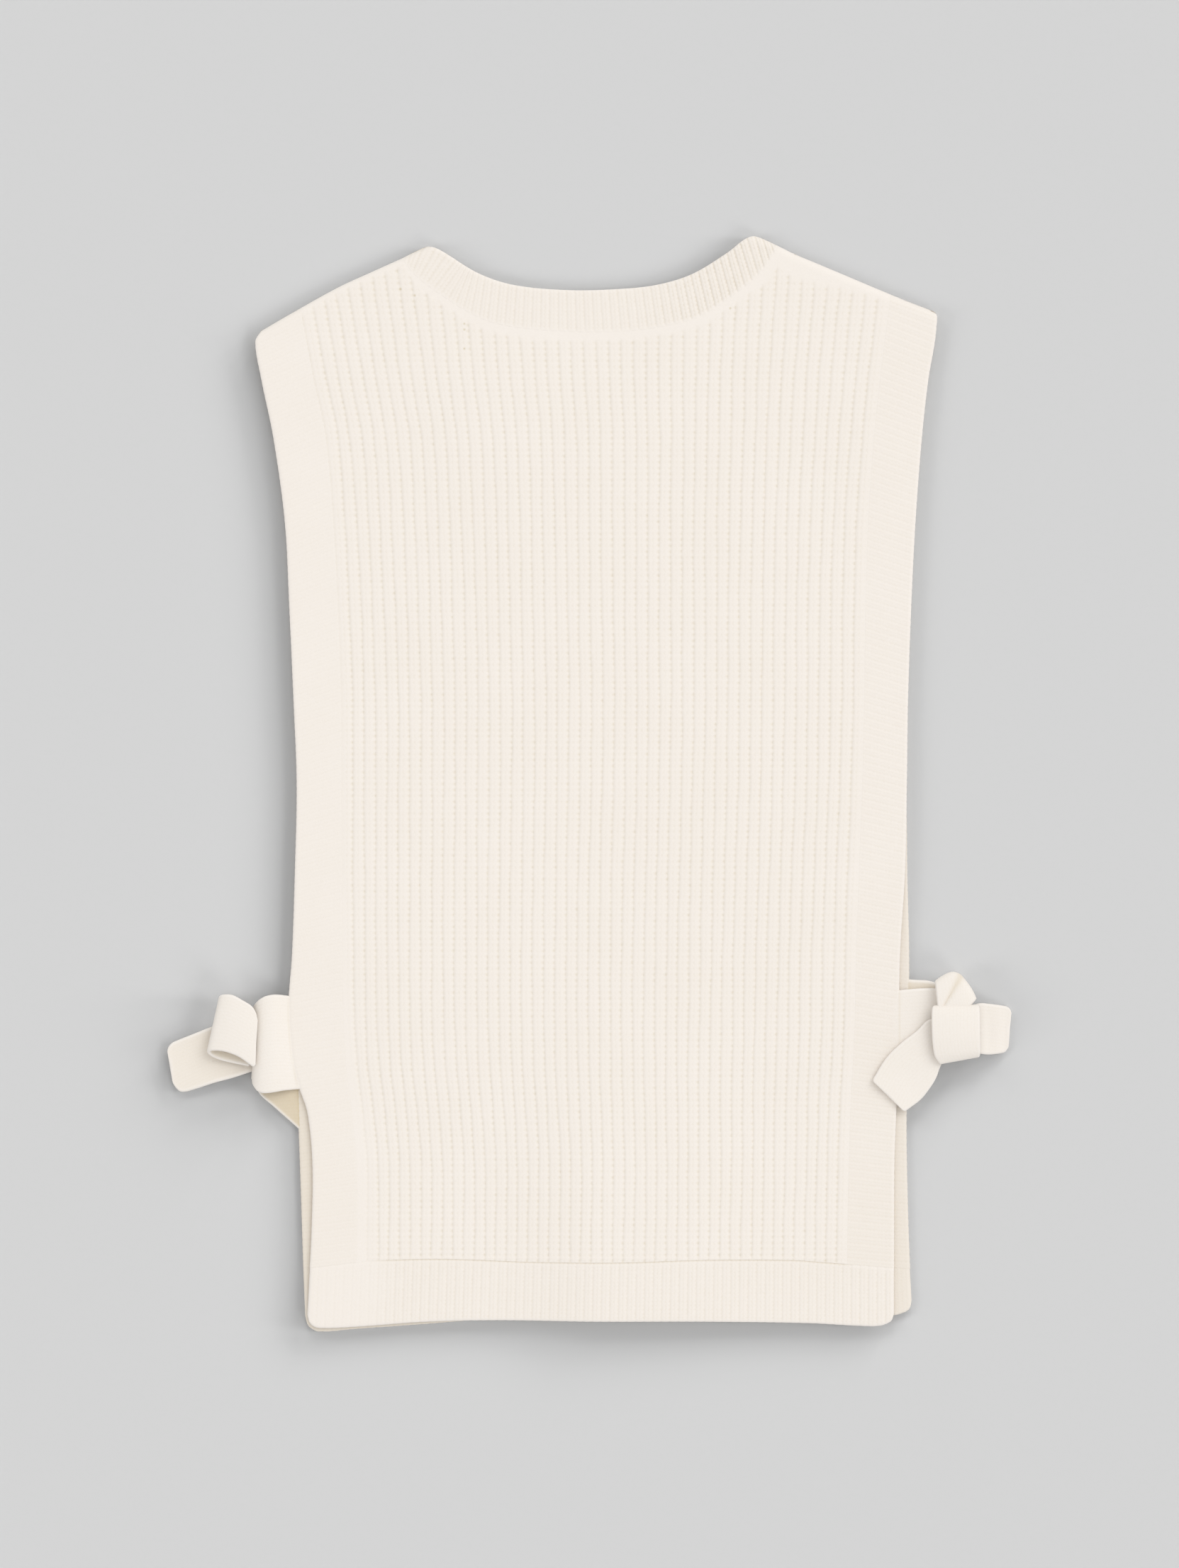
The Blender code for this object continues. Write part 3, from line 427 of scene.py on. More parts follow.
class Panel:
    """The plan of a panel. Each method takes u across or along a piece and v over it, and returns x and y."""

    def __init__(self, sides, neck_seam, neck_edge, bottom):
        y, left, left_seam, right_seam, right = np.array(sides).T
        tips = {"left": LEFT_SHOULDER[0], "right": RIGHT_SHOULDER[-1]}
        self.tip_y = {side: tip[1] for side, tip in tips.items()}
        edges = {"left": left, "right": right}
        self.edge = {side: curve([*y, tips[side][1]], [*x, tips[side][0]]) for side, x in edges.items()}
        self.seam = {"left": curve(y, left_seam), "right": curve(y, right_seam)}
        self.neck_seam = path(neck_seam)
        self.neck_top = path([neck_seam[0], *neck_edge, neck_seam[-1]])
        self.neck_tips = neck_edge[0][0], neck_edge[-1][0]
        neck_x, self.neck_y = self.neck_seam(np.linspace(0, 1, NECK_SAMPLES))
        self.neck_x = np.maximum.accumulate(neck_x)
        self.shoulder = {"left": through(LEFT_SHOULDER), "right": through(RIGHT_SHOULDER)}
        self.hem = through(HEM_SEAM)
        self.bottom = path(bottom)

    def rib_x(self, u, y):
        return mix(self.seam["left"](y), self.seam["right"](y), u)

    def fold_y(self, x):
        return np.where(x < 0, self.shoulder["left"](x), self.shoulder["right"](x))

    def top(self, x):
        """The y at which the body ends above: at the neckband's seam or at a shoulder fold."""
        in_neck = (x > self.neck_x[0]) & (x < self.neck_x[-1])
        lapped = np.interp(x, self.neck_x, self.neck_y) + SEAM_LAP * self.near_neck(x)
        return np.where(in_neck, lapped, self.fold_y(x))

    def near_neck(self, x):
        """1 where the body is sewn to the neckband, 0 at the shoulder folds."""
        return within(self.neck_x[0], self.neck_x[-1], x, *NECK_TIP)

    def from_fold(self, x, y):
        """How far points are from the line of the shoulder fold on their side, carried on past the neck."""
        return FOLD_SLOPE * (self.fold_y(x) - y)

    def rib_ends(self, u):
        """The lowest and the highest y of rib lines."""
        high = np.zeros_like(u)
        for _ in range(ROUNDS_TO_THE_TOP):
            high = self.top(self.rib_x(u, high))
        return self.hem(self.rib_x(u, HEM_Y)), high

    def body(self, u, v):
        """The knit's rows are level, and those beside the hem seam and the top follow them."""
        low, high = self.rib_ends(u[0])
        level = np.clip(v, low + SEAM_STEPS[-1], high - FOLD_STEPS[-1])
        level = np.where(v < FROM_HEM / 2, low + v - FROM_HEM, level)
        y = np.where(v > FROM_TOP / 2, high + v - FROM_TOP, level)
        return self.rib_x(u, y) + stray(u * BODY_RIBS, y) * ease(0, STRAY_END, high - y), y

    def trim(self, side, u, v):
        """u runs from the hem to the shoulder, and v from the free edge to the seam."""
        edge_y = mix(self.hem(self.edge[side](HEM_Y)), self.tip_y[side], u)
        seam_y = mix(*self.rib_ends(np.array([float(side == "right")])), u)
        outwards = -1 if side == "left" else 1
        drawn_in = TIP_RADIUS[side] * (1 - turn(self.tip_y[side] - edge_y, TIP_RADIUS[side]))
        edge_x = self.edge[side](edge_y) + outwards * (SCALLOP * ridge(u, TRIM_RIBS, ROUND_RIB) - drawn_in)
        x, y = mix(edge_x, self.seam[side](seam_y), v), mix(edge_y, seam_y, v)
        return x, y + (self.shoulder[side](x[:, -1:]) - y[:, -1:]) * ease(TRIM_END, 1, u)

    def hem_band(self, u, v):
        """v runs from the bottom edge to the seam."""
        low_x, low_y = self.bottom(self.bottom_places(u))
        seam_x = mix(self.edge["left"](HEM_Y), self.edge["right"](HEM_Y), u)
        low_y = low_y - SCALLOP * ridge(u, HEM_RIBS, ROUND_RIB)
        return mix(low_x, seam_x, v), mix(low_y, self.hem(seam_x), v)

    def bottom_places(self, u):
        """Where on the bottom edge the ribs end that are spaced evenly from left to right."""
        places = np.linspace(0, 1, BOTTOM_SAMPLES)
        x = np.maximum.accumulate(self.bottom(places)[0])
        return np.interp(mix(x[0], x[-1], u), x, places)

    def neckband(self, u, v):
        """v runs from the seam to the top, which is a shoulder fold, the free edge and the other fold."""
        (seam_x, seam_y), (top_x, top_y) = self.neck_seam(u), self.neck_top(leaned(u))
        return mix(seam_x, top_x, v), mix(seam_y, top_y, v)

    def neck_width(self, u):
        return np.hypot(*np.subtract(self.neck_top(leaned(u)), self.neck_seam(u)))


def leaned(u):
    """Where on the neckband's top the rib ends that starts at u on its seam."""
    return u + NECK_LEAN * ease(0, NECK_LEAN_START, u) * bell(u - NECK_LEAN_AT, NECK_LEAN_REACH)


def ridge(u, ribs, sharpness):
    """0 in the grooves between ribs to 1 on them. A higher sharpness has flatter ribs and thinner grooves."""
    return 1 - np.abs(2 * ((u * ribs) % 1) - 1) ** sharpness


def stray(place, y):
    """How far the body's columns stray sideways. place counts ribs, and each groove has its own waves."""
    line = np.minimum(place.astype(int), BODY_RIBS - 1)

    def waves(lines):
        phases = np.moveaxis(STRAY_PHASES[lines], -1, 0)
        return sum(reach * np.sin(2 * pi * y / span + phase) for (reach, span), phase in zip(STRAYS, phases))

    zigzag = ZIGZAG * (1 - ridge(place / BODY_RIBS, BODY_RIBS, FULL_RIB)) * np.cos(2 * pi * y / STITCH)
    grown = within(0, BODY_RIBS, place, 0, STRAY_START)
    return (mix(waves(line), waves(line + 1), place - line) + zigzag) * grown


# ---- meshes

# How a wall lies: its inside's z, the way its ribs face, its thickness against the tables, and its folds.
Face = namedtuple("Face", "inside side share lifted")
BACK_FACE = Face(3.1, 1, 1.0, 1.0)
FRONT_FACE = Face(2.8, -1, 0.9, 0.0)

# A grid of points with its two maps, how clear its ribs are, and how far it is darkened besides.
Patch = namedtuple("Patch", "points knit bake ribbed dark")
SKIN_STRIP, LINING_STRIP = (0.01, 0.79), (0.82, 0.99)  # parts of the baking map for a piece's two sides
RIBBON_STRIPS = (0.01, 0.49), (0.51, 0.99)
MAP_HEIGHT = (0.01, 0.99)
MAP_TURN = 0.004  # room in the baking map for a skin's turn under its edges
WELD = 0.0005


def show(name, data):
    """The object of a mesh, light or camera in the scene."""
    obj = bpy.data.objects.new(name, data)
    SCENE.collection.objects.link(obj)
    return obj


def place(face, x, y, height):
    z = face.inside + face.side * face.share * height + face.lifted * lift(x, y)
    return np.stack((x, y, z), axis=-1) * MM


def bake_map(x, y, strip):
    """Places in the baking map, where a patch fills the strip from side to side."""
    u, v = ((a - a.min()) / (a.max() - a.min()) for a in (x, y))
    return np.stack((mix(*strip, u), mix(*MAP_HEIGHT, v)), axis=-1)


def turn_out(places):
    """Moves a map's outermost ring of places outwards from the next one."""
    for ring, border, inner in ((0, 1, 2), (-1, -2, -3)):
        for grid in (places, places.swapaxes(0, 1)):
            away = grid[border] - grid[inner]
            length = np.maximum(np.linalg.norm(away, axis=-1, keepdims=True), 1e-9)
            grid[ring] = grid[border] + away / length * MAP_TURN
    return places


def quads(ids):
    return np.stack((ids[:-1, :-1], ids[:-1, 1:], ids[1:, 1:], ids[1:, :-1]), axis=-1).reshape(-1, 4)


def bridge(run_a, ts_a, run_b, ts_b):
    """Triangles between two runs of vertices that lie side by side and may differ in number."""
    faces = []
    a = b = 0
    while a < len(run_a) - 1 or b < len(run_b) - 1:
        if b == len(run_b) - 1 or (a < len(run_a) - 1 and ts_a[a + 1] <= ts_b[b + 1]):
            faces.append((run_a[a], run_a[a + 1], run_b[b]))
            a += 1
        else:
            faces.append((run_a[a], run_b[b + 1], run_b[b]))
            b += 1
    return faces


def finish_mesh(name, points, faces, corners, maps, looks, material):
    """The mesh as a shown object. corners are rows of the maps for each face corner in turn."""
    mesh = bpy.data.meshes.new(name)
    mesh.from_pydata(points, [], faces)
    for map_name, values in maps.items():
        layer = mesh.uv_layers.new(name=map_name)
        layer.data.foreach_set("uv", values[corners].astype(np.float32).ravel())
    for look, values in looks.items():
        layer = mesh.attributes.new(look, "FLOAT", "POINT")
        layer.data.foreach_set("value", values.astype(np.float32).ravel())
    bm = bmesh.new()
    bm.from_mesh(mesh)
    bmesh.ops.remove_doubles(bm, verts=bm.verts, dist=WELD * MM)
    loose = [vert for vert in bm.verts if not vert.link_faces]
    bmesh.ops.delete(bm, geom=loose, context="VERTS")
    bmesh.ops.recalc_face_normals(bm, faces=bm.faces)
    bm.to_mesh(mesh)
    bm.free()
    mesh.shade_smooth()
    mesh.materials.append(material)
    return show(name, mesh)


def make_wall(name, face, plan, skin_height, under_height, fine, plain, stitches, material):
    """A closed wall of knit on a plan: a fine skin that turns round its edges, over a plainer lining.
    stitches(u, v, x, y) counts ribs and rows for the material."""
    u, v = np.meshgrid(*fine)
    x, y = plan(u, v)
    u, v, x, y, *looks = (np.pad(a, 1, mode="edge") for a in (u, v, x, y, *skin_height(u, v, x, y)))
    height, ribbed, dark = looks
    ring = np.ones(u.shape, bool)
    ring[1:-1, 1:-1] = False
    height = np.where(ring, under_height(u, v, x, y), height)
    us, vs = u[0], v[:, 0]
    knit = np.stack(stitches(u, v, x, y), axis=-1)
    bake = turn_out(bake_map(x, y, SKIN_STRIP))
    skin = Patch(place(face, x, y, np.minimum(height, BODY_CREST)), knit, bake, ribbed, dark)
    u, v = np.meshgrid(*plain)
    x, y = plan(u, v)
    points = place(face, x, y, under_height(u, v, x, y))
    knit, bake = np.stack(stitches(u, v, x, y), axis=-1), bake_map(x, y, LINING_STRIP)
    # The lining's own tone and its painted shade.
    dark = mix(*LINING_TONE_AND_SHADE, ease(*LINING_MIDDLE, x))
    lining = Patch(points, knit, bake, np.full_like(u, LINING_CLARITY), dark)
    count = skin.dark.size
    top = np.arange(count).reshape(skin.dark.shape)
    low = count + np.arange(lining.dark.size).reshape(lining.dark.shape)
    grid_faces = np.concatenate((quads(top), quads(low)))
    ties = []
    for side in (0, -1):
        ties += bridge(top[side], us, low[side], plain[0])
        ties += bridge(top[:, side], vs, low[:, side], plain[1])
    # The triangles between the two sides are out of sight and take no room in the maps.
    tie_corners = np.repeat([max(face) for face in ties], 3)
    # Both sides of the wall, one after the other.
    points, knit, bake, ribbed, dark = (
        np.concatenate((outer.reshape(count, -1), inner.reshape(lining.dark.size, -1)))
        for outer, inner in zip(skin, lining)
    )
    return finish_mesh(
        name,
        points.tolist(),
        grid_faces.tolist() + ties,
        np.concatenate((grid_faces.ravel(), tie_corners)),
        {"knit": knit, "OFBake": bake},
        {"ribbed": ribbed, "dark": dark},
        material,
    )


def round_corners(middle, radius):
    """The ribbon's last rows drawn in, so that its end's corners are round."""
    centre = (middle[:, :1] + middle[:, -1:]) / 2
    steps = np.linalg.norm(np.diff(centre[:, 0], axis=0), axis=-1)
    from_end = steps.sum() - np.concatenate(([0], np.cumsum(steps)))
    half_width = np.linalg.norm(middle[:, 0] - centre[:, 0], axis=-1)
    kept = 1 - radius / half_width * (1 - turn(from_end, radius))
    return mix(centre, middle, kept[:, None, None])


def make_ribbon(name, middle, wall, rooted, darks, material):
    """A closed ribbon with rounded edges about a grid of points in its middle, in millimetres.
    A rooted one starts square, inside a panel. darks are the painted shade on its two sides."""
    along, across = np.gradient(middle, axis=0), np.gradient(middle, axis=1)
    normal = np.cross(across, along)
    normal /= np.linalg.norm(normal, axis=-1, keepdims=True)
    steps = np.linalg.norm(np.diff(middle, axis=1), axis=-1)
    from_a = np.pad(np.cumsum(steps, axis=1), ((0, 0), (1, 0)))
    from_side = np.minimum(from_a, from_a[:, -1:] - from_a)
    steps = np.linalg.norm(np.diff(middle, axis=0), axis=-1)
    from_start = np.pad(np.cumsum(steps, axis=0), ((1, 0), (0, 0)))
    from_end = from_start[-1:] - from_start
    if not rooted:
        from_end = np.minimum(from_start, from_end)
    from_edge = np.minimum(from_side, from_end)
    half = wall / 2 * turn(from_edge, TIE_EDGE)
    at_root = rooted * ROOT_SHADE * bell(from_start - TIE_ROOT - ROOT_LINE, ROOT_REACH)
    offset = normal * half[..., None]
    rows, columns = half.shape
    knit = np.stack((from_a / TIE_WALE, from_start / TIE_WALE), axis=-1)
    shares = np.meshgrid(np.linspace(0, 1, columns), np.linspace(0, 1, rows))
    ids = np.arange(rows * columns).reshape(rows, columns)
    thin = half < WELD
    low_ids = np.where(thin, ids, ids + ids.size)
    root = [(ids[0, i], ids[0, i + 1], low_ids[0, i + 1], low_ids[0, i]) for i in range(columns - 1)]
    root = [list(dict.fromkeys(int(i) for i in face)) for face in root if rooted]
    faces = np.concatenate((quads(ids), quads(low_ids))).tolist() + root
    root_corners = np.concatenate([[0], *root])[1:]
    corners = np.concatenate((quads(ids).ravel(), quads(ids).ravel() + ids.size, root_corners))
    bake = [bake_map(*shares, strip).reshape(-1, 2) for strip in RIBBON_STRIPS]
    points = np.concatenate(((middle + offset).reshape(-1, 3), (middle - offset).reshape(-1, 3))) * MM
    maps = {"knit": np.tile(knit.reshape(-1, 2), (2, 1)), "OFBake": np.concatenate(bake)}
    # Painted shade, the line of stitches at a root, and the edges lightened by fuzz and painted light.
    darks = [side * ease(*TIE_SHADE_TURN, from_edge) + at_root - fuzz_and_rim_light(from_edge) for side in darks]
    dark = np.concatenate([side.ravel() for side in darks])
    looks = {"ribbed": np.full(len(points), TIE_CLARITY), "dark": dark}
    return finish_mesh(name, points.tolist(), faces, corners.astype(int), maps, looks, material)


# ---- materials

LIGHTEST = -0.8  # how far beyond the light colour the fuzz and painted rim light may go
STITCH_BUMP, BUMP_STRENGTH = 0.3, 0.4  # depth and strength of the shading of stitches
MATT_YARN = {"Roughness": 0.95, "Specular IOR Level": 0.15, "Sheen Weight": 0.3, "Sheen Roughness": 0.5}
# The scale and the detail of the yarn's noises, how far they change its colour, and its height.
YARN, LOOSE_YARN, FIBRES, DYE = (420, 1), (900, 3), (3500, 2), (22, 2)
YARN_SHADE, LOOSE_SHADE, DYE_SHADE = 1.6, 0.35, 0.25
LOOSE_RISE, FIBRES_RISE = 0.8, 0.5

# How a knit's grooves look: their width (lower is wider), how far each stitch leans them, as a share of a
# rib, how much they break up into one spot a stitch, and how clear such spots are along the ribs' middles.
# The grooves and spots are painted shade, in the knit's deep colour.
Weave = namedtuple("Weave", "sharpness lean spots middle")
# The light colour of each knit, its deep colour for painted shade and darkened places, its weave and its
# holes.
YARNS = {
    "body_knit": ((0.829, 0.775, 0.716), (0.752, 0.688, 0.595), Weave(3.2, 0.05, 0.7, 0.4), HOLES),
    "band_knit": ((0.826, 0.772, 0.712), (0.75, 0.685, 0.595), Weave(3, 0.04, 0.3, 0.8), ()),
    "tie_knit": ((0.824, 0.773, 0.713), (0.75, 0.68, 0.58), Weave(2, 0.08, 0.3, 0.3), ()),
}
MIDDLE_SHARPNESS = 1.5  # how much narrower than the grooves those middles are


def new_material(name, surface):
    material = bpy.data.materials.new(name)
    material.use_nodes = True
    shader = material.node_tree.nodes["Principled BSDF"]
    for key, value in surface.items():
        shader.inputs[key].default_value = value
    return material, shader


def knit_material(name, light, deep, weave, holes):
    """Matt yarn: painted shade deep in the grooves between ribs and in stitch spots, with fuzz, uneven dye
    and holes.
    """
    material, shader = new_material(name, MATT_YARN)
    nodes, links = material.node_tree.nodes, material.node_tree.links

    def add(kind, inputs=(), **settings):
        node = nodes.new(kind)
        for key, value in settings.items():
            setattr(node, key, value)
        for key, value in dict(inputs).items():
            if isinstance(value, bpy.types.NodeSocket):
                links.new(value, node.inputs[key])
            else:
                node.inputs[key].default_value = value
        return node

    def maths(operation, a, b=0.0):
        return add("ShaderNodeMath", {0: a, 1: b}, operation=operation).outputs[0]

    plus, minus, times = (partial(maths, operation) for operation in ("ADD", "SUBTRACT", "MULTIPLY"))

    def noise(scale, detail):
        settings = {"Vector": spot, "Scale": scale, "Detail": detail}
        return add("ShaderNodeTexNoise", settings).outputs["Fac"]

    def centred(value, reach):
        return times(minus(value, 0.5), reach)

    def look(name):
        return add("ShaderNodeAttribute", attribute_name=name).outputs["Fac"]

    spot = add("ShaderNodeTexCoord").outputs["Object"]
    knit = add("ShaderNodeSeparateXYZ", {0: add("ShaderNodeUVMap", uv_map="knit").outputs[0]}).outputs
    row = maths("COSINE", times(knit[1], 2 * pi))
    leaning = plus(knit[0], times(row, weave.lean))
    from_middle = times(maths("ABSOLUTE", minus(maths("FRACT", leaning), 0.5)), 2.0)
    groove = maths("POWER", from_middle, weave.sharpness)
    middle = maths("POWER", minus(1.0, from_middle), MIDDLE_SHARPNESS * weave.sharpness)
    spots = plus(centred(row, weave.spots / 2), 1 - weave.spots / 4)
    yarn, loose, fibres, dye = (noise(*kind) for kind in (YARN, LOOSE_YARN, FIBRES, DYE))
    spots = times(spots, plus(centred(yarn, YARN_SHADE), 1.0))
    # Painted shade in the grooves and stitch spots, as strong as the piece's ribbed attribute says.
    stitches = times(times(plus(groove, times(middle, weave.middle)), spots), look("ribbed"))
    # The dark attribute adds painted shade, seam lines and the lightened edges.
    deepness = plus(stitches, look("dark"))
    deepness = plus(deepness, plus(centred(loose, LOOSE_SHADE), centred(dye, DYE_SHADE)))
    for hole_x, hole_y in holes:
        flat_spot = add("ShaderNodeVectorMath", {0: spot, 1: (1, 1, 0)}, operation="MULTIPLY").outputs[0]
        centre = (hole_x * MM, hole_y * MM, 0)
        away = add("ShaderNodeVectorMath", {0: flat_spot, 1: centre}, operation="DISTANCE").outputs["Value"]
        fading = {"Value": away, "From Max": HOLE_RADIUS * MM, "To Min": 1.0, "To Max": 0.0}
        near = add("ShaderNodeMapRange", fading).outputs[0]
        deepness = plus(deepness, times(near, HOLE_SHADE))
    colour = add(
        "ShaderNodeMix",
        {"Factor": maths("MAXIMUM", deepness, LIGHTEST), "A": (*light, 1), "B": (*deep, 1)},
        data_type="RGBA",
        clamp_factor=False,
    )
    height = minus(plus(centred(loose, LOOSE_RISE), centred(fibres, FIBRES_RISE)), stitches)
    bump = add("ShaderNodeBump", {"Height": height, "Strength": BUMP_STRENGTH, "Distance": STITCH_BUMP * MM})
    links.new(colour.outputs["Result"], shader.inputs["Base Color"])
    links.new(bump.outputs[0], shader.inputs["Normal"])
    return material


# ---- heights of the panels' pieces


def rib_shares(count, places):
    """The mesh columns across ribs, from 0 to 1."""
    return np.append((np.arange(count)[:, None] + np.array(places)).ravel() / count, 1.0)


def rimmed(shares):
    """Shares with one more close to each end, so that seams there stay flat."""
    return np.insert(shares, [1, len(shares) - 1], [RIM_COLUMN, 1 - RIM_COLUMN])


def body_columns(panel):
    """The body's mesh columns, with more where the ends of the neckband meet the shoulders."""
    near_tips = []
    for end, inwards in ((0, 1), (-1, -1)):
        x, y = panel.neck_x[end] + inwards * np.array(NECK_TIP_STEPS), panel.neck_y[end]
        left, right = panel.rib_x(0, y), panel.rib_x(1, y)
        near_tips.append((x - left) / (right - left))
    return np.sort(np.concatenate((rimmed(rib_shares(BODY_RIBS, BODY_PLACES)), *near_tips)))


def spaced_rows(length, at_start, at_end, step=ROW_STEP):
    """Mesh rows from 0 to 1, close together at both ends."""
    middle = np.arange(at_start[-1] + step, length - at_end[-1], step)
    distances = np.concatenate((at_start, middle, length - np.array(at_end)[::-1]))
    return distances / length


def chain(x):
    """0 between the small loops of the hem seam to 1 on them."""
    return np.abs(np.sin(pi * x / CHAIN))


def fuzz_and_rim_light(from_edge):
    """How far a free edge is lightened: its whiter loose fibres, and painted light against the shade of its
    turn.
    """
    return FUZZ_AND_RIM_LIGHT * (1 - ease(0, FUZZ_AND_RIM_LIGHT_REACH, from_edge))


def folded(panel, height, x, y):
    """The height, drawn down to the shoulder fold."""
    return mix(FOLD_HEIGHT, height, turn(panel.from_fold(x, y), FOLD_TURN))


def edge_under(from_edge):
    """The height of a wall's inside beside a free edge."""
    return EDGE_UNDER * (1 - turn(from_edge, UNDER_TURN))


def body_height(panel, u, v, x, y):
    low, high = panel.rib_ends(u[0])
    from_top, from_hem = high - y, y - low
    smooth = through(SMOOTH_BELOW_TOP)(x)
    clear = ease(smooth, smooth + STRIP_TURN, from_top)
    clear = clear * ease(0, through(SMOOTH_AT_LEFT)(y), x - panel.seam["left"](y) + SMOOTH_START)
    clear = clear * ease(0, SMOOTH_AT_RIGHT, panel.seam["right"](y) - x)
    on_ridge = ridge(u, BODY_RIBS, FLAT_RIB)
    stitch = np.cos(2 * pi * y / STITCH)
    row = np.round(2 * (y - HEM_Y) / STITCH).astype(int)
    across = u * (NOISE_PLACES - 1)
    column = np.minimum(across.astype(int), NOISE_PLACES - 2)
    noise = mix(STITCH_NOISE[row, column], STITCH_NOISE[row, column + 1], across - column)
    height = mix(FADED, mix(BODY_GROOVE, BODY_CREST, on_ridge), clear)
    height = height - (stitch * mix(GROOVE_STITCH, RIDGE_STITCH, on_ridge) + UNEVEN * noise) * clear
    to_side = np.minimum(u, 1 - u) * BODY_WIDTH
    height = mix(SEAM_LOW, height, turn(np.minimum(np.minimum(from_top, from_hem), to_side), SEAM_TURN))
    return folded(panel, height, x, y), clear, np.zeros_like(u)


def body_under(panel, u, v, x, y):
    return np.where(v >= FROM_TOP, mix(FOLD_HEIGHT, 0, panel.near_neck(x)), 0)


def trim_height(panel, side, u, v, x, y):
    from_edge, from_seam = v * TRIM_WIDTH, np.minimum((1 - v) * TRIM_WIDTH, y - panel.hem(x))
    height = TRIM_CREST - TRIM_RELIEF[side] * (1 - ridge(u, TRIM_RIBS, FULL_RIB))
    height = mix(SEAM_LOW, height, turn(from_seam, SEAM_TURN))
    height = mix(EDGE_TOP, height, turn(from_edge, EDGE_TURN))
    # The trim darker near the hem, and its edge lightened by fuzz and painted light.
    dark = TRIM_SHADES[side] * (1 - ease(HEM_Y, 0, y)) - fuzz_and_rim_light(from_edge)
    return folded(panel, height, x, y), np.full_like(u, TRIM_CLARITY[side]), dark


def trim_under(u, v, x, y):
    height = edge_under(v * TRIM_WIDTH) + LINING_RELIEF * (1 - ridge(u, TRIM_RIBS, ROUND_RIB))
    return np.where(u >= 1, FOLD_HEIGHT, height)


def from_hem_side(panel, u):
    """How far places on the hem band are from the nearer of its two ends."""
    return np.minimum(u, 1 - u) * (panel.edge["right"](HEM_Y) - panel.edge["left"](HEM_Y))


def hem_height(panel, u, v, x, y):
    from_bottom, from_seam = v * HEM_WIDTH, (1 - v) * HEM_WIDTH
    from_side = from_hem_side(panel, u)
    shown = ease(*SEAM_SHOWS_FROM, x)
    clear = mix(HEM_CLARITY_AT_LEFT, 1, shown)
    height = HEM_CREST - HEM_RELIEF * clear * (1 - ridge(u, HEM_RIBS, FLAT_RIB))
    seam = shown * (1 - ease(*SEAM_SHOWS_TO, x))
    loops = seam * chain(x) * bell(from_seam - LOOPS_AT, LOOPS_REACH)
    groove = (HEM_CREST - SEAM_LOW + SEAM_DIP * seam) * bell(from_seam, SEAM_DIP_REACH)
    height = mix(height, HEM_CREST, LOOPS_FILL * loops) - groove
    height = mix(EDGE_TOP, height, turn(from_bottom, EDGE_TURN))
    height = mix(EDGE_TOP, height, turn(from_side, EDGE_TURN))
    ribbed = HEM_CLARITY * clear * ease(*HEM_RIBS_BEGIN, from_bottom) * ease(*HEM_RIBS_END, from_seam)
    dark = SEAM_SHADE * seam * (1 - LOOPS_LIGHT * loops) * bell(from_seam, SEAM_SHADE_REACH)
    # The bottom and sides lightened by fuzz and painted light.
    return height, ribbed, dark - fuzz_and_rim_light(np.minimum(from_bottom, from_side))


def hem_under(panel, u, v, x, y):
    return edge_under(np.minimum(v * HEM_WIDTH, from_hem_side(panel, u)))


def on_neck_edge(panel, u):
    """1 where the neckband's top is its free edge, 0 where it is a shoulder fold."""
    return within(*panel.neck_tips, panel.neck_top(leaned(u))[0], *NECK_EDGE_ENDS)


def neck_height(panel, u, v, x, y):
    from_seam, from_edge = v * panel.neck_width(u), (1 - v) * panel.neck_width(u)
    at_edge = on_neck_edge(panel, u)
    relief = NECK_RELIEF * (1 + ease(*NECK_DEEPER, x))
    height = NECK_CREST - relief * (1 - ridge(u, NECK_RIBS, FLAT_RIB))
    height = mix(SEAM_LOW, height, turn(from_seam, SEAM_TURN))
    height = mix(height, mix(EDGE_TOP, height, turn(from_edge, EDGE_TURN)), at_edge)
    clear = through(NECK_CLARITY)(x) * ease(*NECK_RIBS_BEGIN, from_seam)
    # The free edge lightened by fuzz and painted light.
    return folded(panel, height, x, y), clear, -at_edge * fuzz_and_rim_light(from_edge)


def neck_under(panel, u, v, x, y):
    at_edge = edge_under((1 - v) * panel.neck_width(u))
    return mix(np.where(v >= 1, FOLD_HEIGHT, 0), at_edge, on_neck_edge(panel, u))


# ---- pieces

KNIT = {name: knit_material(name, *yarn) for name, yarn in YARNS.items()}

